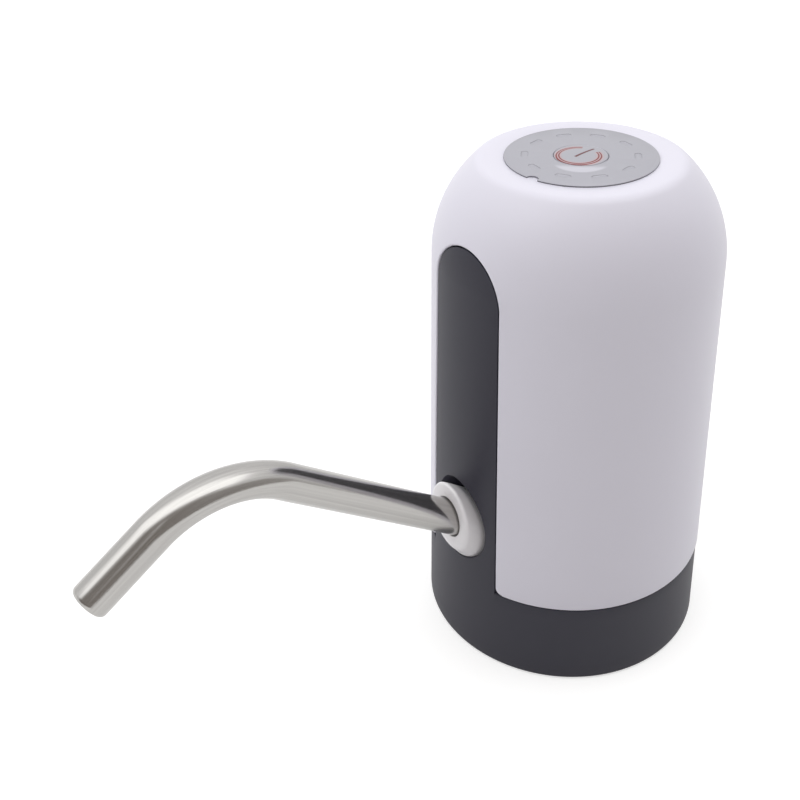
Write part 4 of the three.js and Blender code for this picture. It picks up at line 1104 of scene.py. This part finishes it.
# Moulded plastics: colour, roughness, grain in cells per metre, its depth in mm, and mottle
PLASTICS = {
    "white_gloss_plastic": ((0.815, 0.800, 0.898), 0.38, 2600, 0.02, 0.008),
    "charcoal_plastic": ((0.0325, 0.0315, 0.047), 0.48, 3800, 0.05, 0.06),
    # The collar's white is set brighter than the shell's as painted light, lifting it out of the
    # shade of tube and panel
    "collar_plastic": ((0.97, 0.955, 0.985), 0.36, 2600, 0.02, 0.01),
    "clear_silicone": ((0.78, 0.79, 0.79), 0.5, 2600, 0.02, 0.03),
    "dark_silicone": ((0.03, 0.03, 0.033), 0.62, 4200, 0.03, 0.08),
    "natural_plastic": ((0.80, 0.78, 0.70), 0.45, 2600, 0.03, 0.03),
    "black_plastic": ((0.015, 0.015, 0.018), 0.5, 3200, 0.04, 0.1),
    "cell_wrap": ((0.03, 0.12, 0.33), 0.28, 2600, 0.01, 0.03),
    "circuit_board": ((0.012, 0.12, 0.05), 0.35, 1800, 0.03, 0.12),
    "red_lead": ((0.45, 0.015, 0.012), 0.4, 2600, 0.02, 0.03),
    "black_lead": ((0.01, 0.01, 0.01), 0.4, 2600, 0.02, 0.03),
}
CHARCOAL_SPECULAR = 0.36

# Worked metals: colour and roughness
METALS = {
    "plain_steel": ((0.46, 0.46, 0.47), 0.38),
    "brass_tag": ((0.72, 0.52, 0.22), 0.32),
    "nickel_strip": ((0.62, 0.59, 0.54), 0.3),
    "copper_winding": ((0.62, 0.26, 0.12), 0.36),
}

BY_SLOT = {"polished_steel": spout_steel(), "label_film": label_film()}
for name, look in PLASTICS.items():
    BY_SLOT[name] = moulded(name, *look)
for name, look in METALS.items():
    BY_SLOT[name] = brushed(name, *look)
BY_SLOT["charcoal_plastic"].set("Specular IOR Level", CHARCOAL_SPECULAR)
BUTTON_FILM = button_film()
slot_of = {part["node"]: part["material_slot"] for part in frame["record"]["subparts"]}
for node, slot in slot_of.items():
    dress(nodes[node], BY_SLOT[slot])


def stand_for(piece, node, body="body", finish=None):
    """A finely made piece takes the place of its plain solid, in the same slot."""
    slot = slot_of[node]
    dress(piece, finish or BY_SLOT[slot])
    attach(piece, body)
    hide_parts(node)


stand_for(housing(), "outer_shell")
stand_for(base_ring(), "lower_body")
stand_for(outlet_collar(), "outlet_collar")
stand_for(spout(), "spout_tube", "spout")
stand_for(label(), "top_label")
stand_for(button(), "button_cap", "button", BUTTON_FILM)
stand_for(neck_sleeve(), "neck_sleeve")
stand_for(inlet_nozzle(), "inlet_nozzle")
stand_for(gasket(), "nozzle_gasket")
stand_for(charging_socket(), "usb_socket")
for number, (x, y) in enumerate(screw_places(), 1):
    screw = case_screw(x, y)
    screw.name = f"screw_{number}"
    stand_for(screw, f"case_screw_{number}")


# Camera at the photograph's place
CAMERA = Vector((172.2, -161.1, 226.2)) * MM
PITCH, YAW, ROLL = radians(30.34), radians(-10.88), radians(-2.5)
TURN = Matrix.Rotation(radians(46.9), 3, "Z")
FOCAL = 1074
FRAME_SIZE = 800
CENTRE = (395, 316)


def make_camera():
    ahead = TURN @ Vector((sin(YAW) * cos(PITCH), cos(YAW) * cos(PITCH), -sin(PITCH)))
    right = TURN @ Vector((cos(YAW), -sin(YAW), 0))
    up = right.cross(ahead)
    across = right * cos(ROLL) + up * sin(ROLL)
    upward = up * cos(ROLL) - right * sin(ROLL)
    data = bpy.data.cameras.new("camera")
    data.sensor_width = 36
    data.lens = FOCAL / FRAME_SIZE * data.sensor_width
    data.shift_x = (FRAME_SIZE / 2 - CENTRE[0]) / FRAME_SIZE
    data.shift_y = (CENTRE[1] - FRAME_SIZE / 2) / FRAME_SIZE
    data.clip_start, data.clip_end = 0.01, 20
    camera = bpy.data.objects.new("camera", data)
    axes = Matrix((across, upward, -ahead)).transposed().to_4x4()
    camera.matrix_world = Matrix.Translation(CAMERA) @ axes
    bpy.context.scene.collection.objects.link(camera)
    bpy.context.scene.camera = camera


# Studio: levels of its light, and the way from the axis to its dim side
FLOOR_GLOW = 0.56
GLOSS_GLOW = 0.38
WALL_LIGHT = 0.86
BOX_LIGHT = 1.9
ROOM_LIGHT = 0.26
CAMERA_SIDE = radians(-20)
FLOOR_SIZE = 6.0
FLOOR_DROP = 0.0003


def staged_sheet(name, corners, shader):
    """A flat sheet of the studio, outside the object; corners in metres."""
    mesh = bpy.data.meshes.new(name)
    mesh.from_pydata(corners, [], [(0, 1, 2, 3)])
    sheet = bpy.data.objects.new(name, mesh)
    bpy.context.scene.collection.objects.link(sheet)
    material = bpy.data.materials.new(name + "_surface")
    material.use_nodes = True
    material.node_tree.nodes.clear()
    tree = Nodes(material.node_tree)
    tree.node("ShaderNodeOutputMaterial", values={"Surface": shader(tree)})
    mesh.materials.append(material)
    return sheet


def make_floor():
    """Pale floor that looks white, and keeps the object's shadow."""
    size = FLOOR_SIZE

    def pale(tree):
        def glowing(strength):
            glow = tree.node("ShaderNodeEmission", values={"Strength": strength})
            return tree.node("ShaderNodeAddShader", values=[matt, glow])

        matt = tree.node("ShaderNodeBsdfDiffuse", values={"Color": (0.64, 0.64, 0.64, 1)})
        camera = tree.node("ShaderNodeLightPath", output="Is Camera Ray")
        gloss = tree.node("ShaderNodeLightPath", output="Is Glossy Ray")
        in_gloss = tree.node("ShaderNodeMixShader", values=[gloss, matt, glowing(GLOSS_GLOW)])
        return tree.node("ShaderNodeMixShader", values=[camera, in_gloss, glowing(FLOOR_GLOW)])

    corners = [(-size, -size, 0), (size, -size, 0), (size, size, 0), (-size, size, 0)]
    floor = staged_sheet("floor", corners, pale)
    floor.location.z = -FLOOR_DROP


def make_tent():
    """Soft light: pale walls, a long box overhead, and a dim room on the camera's side."""
    world = bpy.data.worlds.new("tent")
    bpy.context.scene.world = world
    world.use_nodes = True
    world.node_tree.nodes.clear()
    tree = Nodes(world.node_tree)
    x, y, z = tree.split(tree.node("ShaderNodeTexCoord", output="Generated"))
    facing = x * cos(CAMERA_SIDE) + y * sin(CAMERA_SIDE)
    across = y * cos(CAMERA_SIDE) - x * sin(CAMERA_SIDE)
    # Long box overhead, lower at one end
    box = tree.fading(abs(facing), 0.26, 0.44) * (1 - tree.fading(z - across * 0.13, 0.62, 0.80))
    # Narrow bright slit in the dim room
    slit = tree.fading(abs(across + facing * 0.287), 0.02, 0.05)
    slit = slit * tree.fading(abs(z - 0.55), 0.12, 0.25)
    # Dim room, narrower higher up, lighter at one end and in the slit
    narrower = 0.2 - tree.fading(z, 0.38, 0.74) * 0.2
    dim = 1 - tree.fading(facing - narrower, 0.08, 0.36)
    dim = dim * (1 - z * z * 0.1) * (1 - across.larger(0.0) * 0.25) * (1 - slit * 0.75)
    walls = tree.node("ShaderNodeBackground", values=[(1, 1, 1, 1), WALL_LIGHT])
    lamp = tree.node("ShaderNodeBackground", values=[(1, 1, 1, 1), BOX_LIGHT])
    room = tree.node("ShaderNodeBackground", values=[(1, 0.90, 0.83, 1), ROOM_LIGHT])
    above = tree.node("ShaderNodeMixShader", values=[box.larger(z * z * z * 0.45), walls, lamp])
    studio = tree.node("ShaderNodeMixShader", values=[dim, above, room])
    white = tree.node("ShaderNodeBackground", values=[(1, 1, 1, 1), 1.0])
    camera = tree.node("ShaderNodeLightPath", output="Is Camera Ray")
    seen = tree.node("ShaderNodeMixShader", values=[camera, studio, white])
    tree.node("ShaderNodeOutputWorld", values={"Surface": seen})


make_camera()
make_floor()
make_tent()

bpy.context.scene.view_settings.view_transform = "Standard"
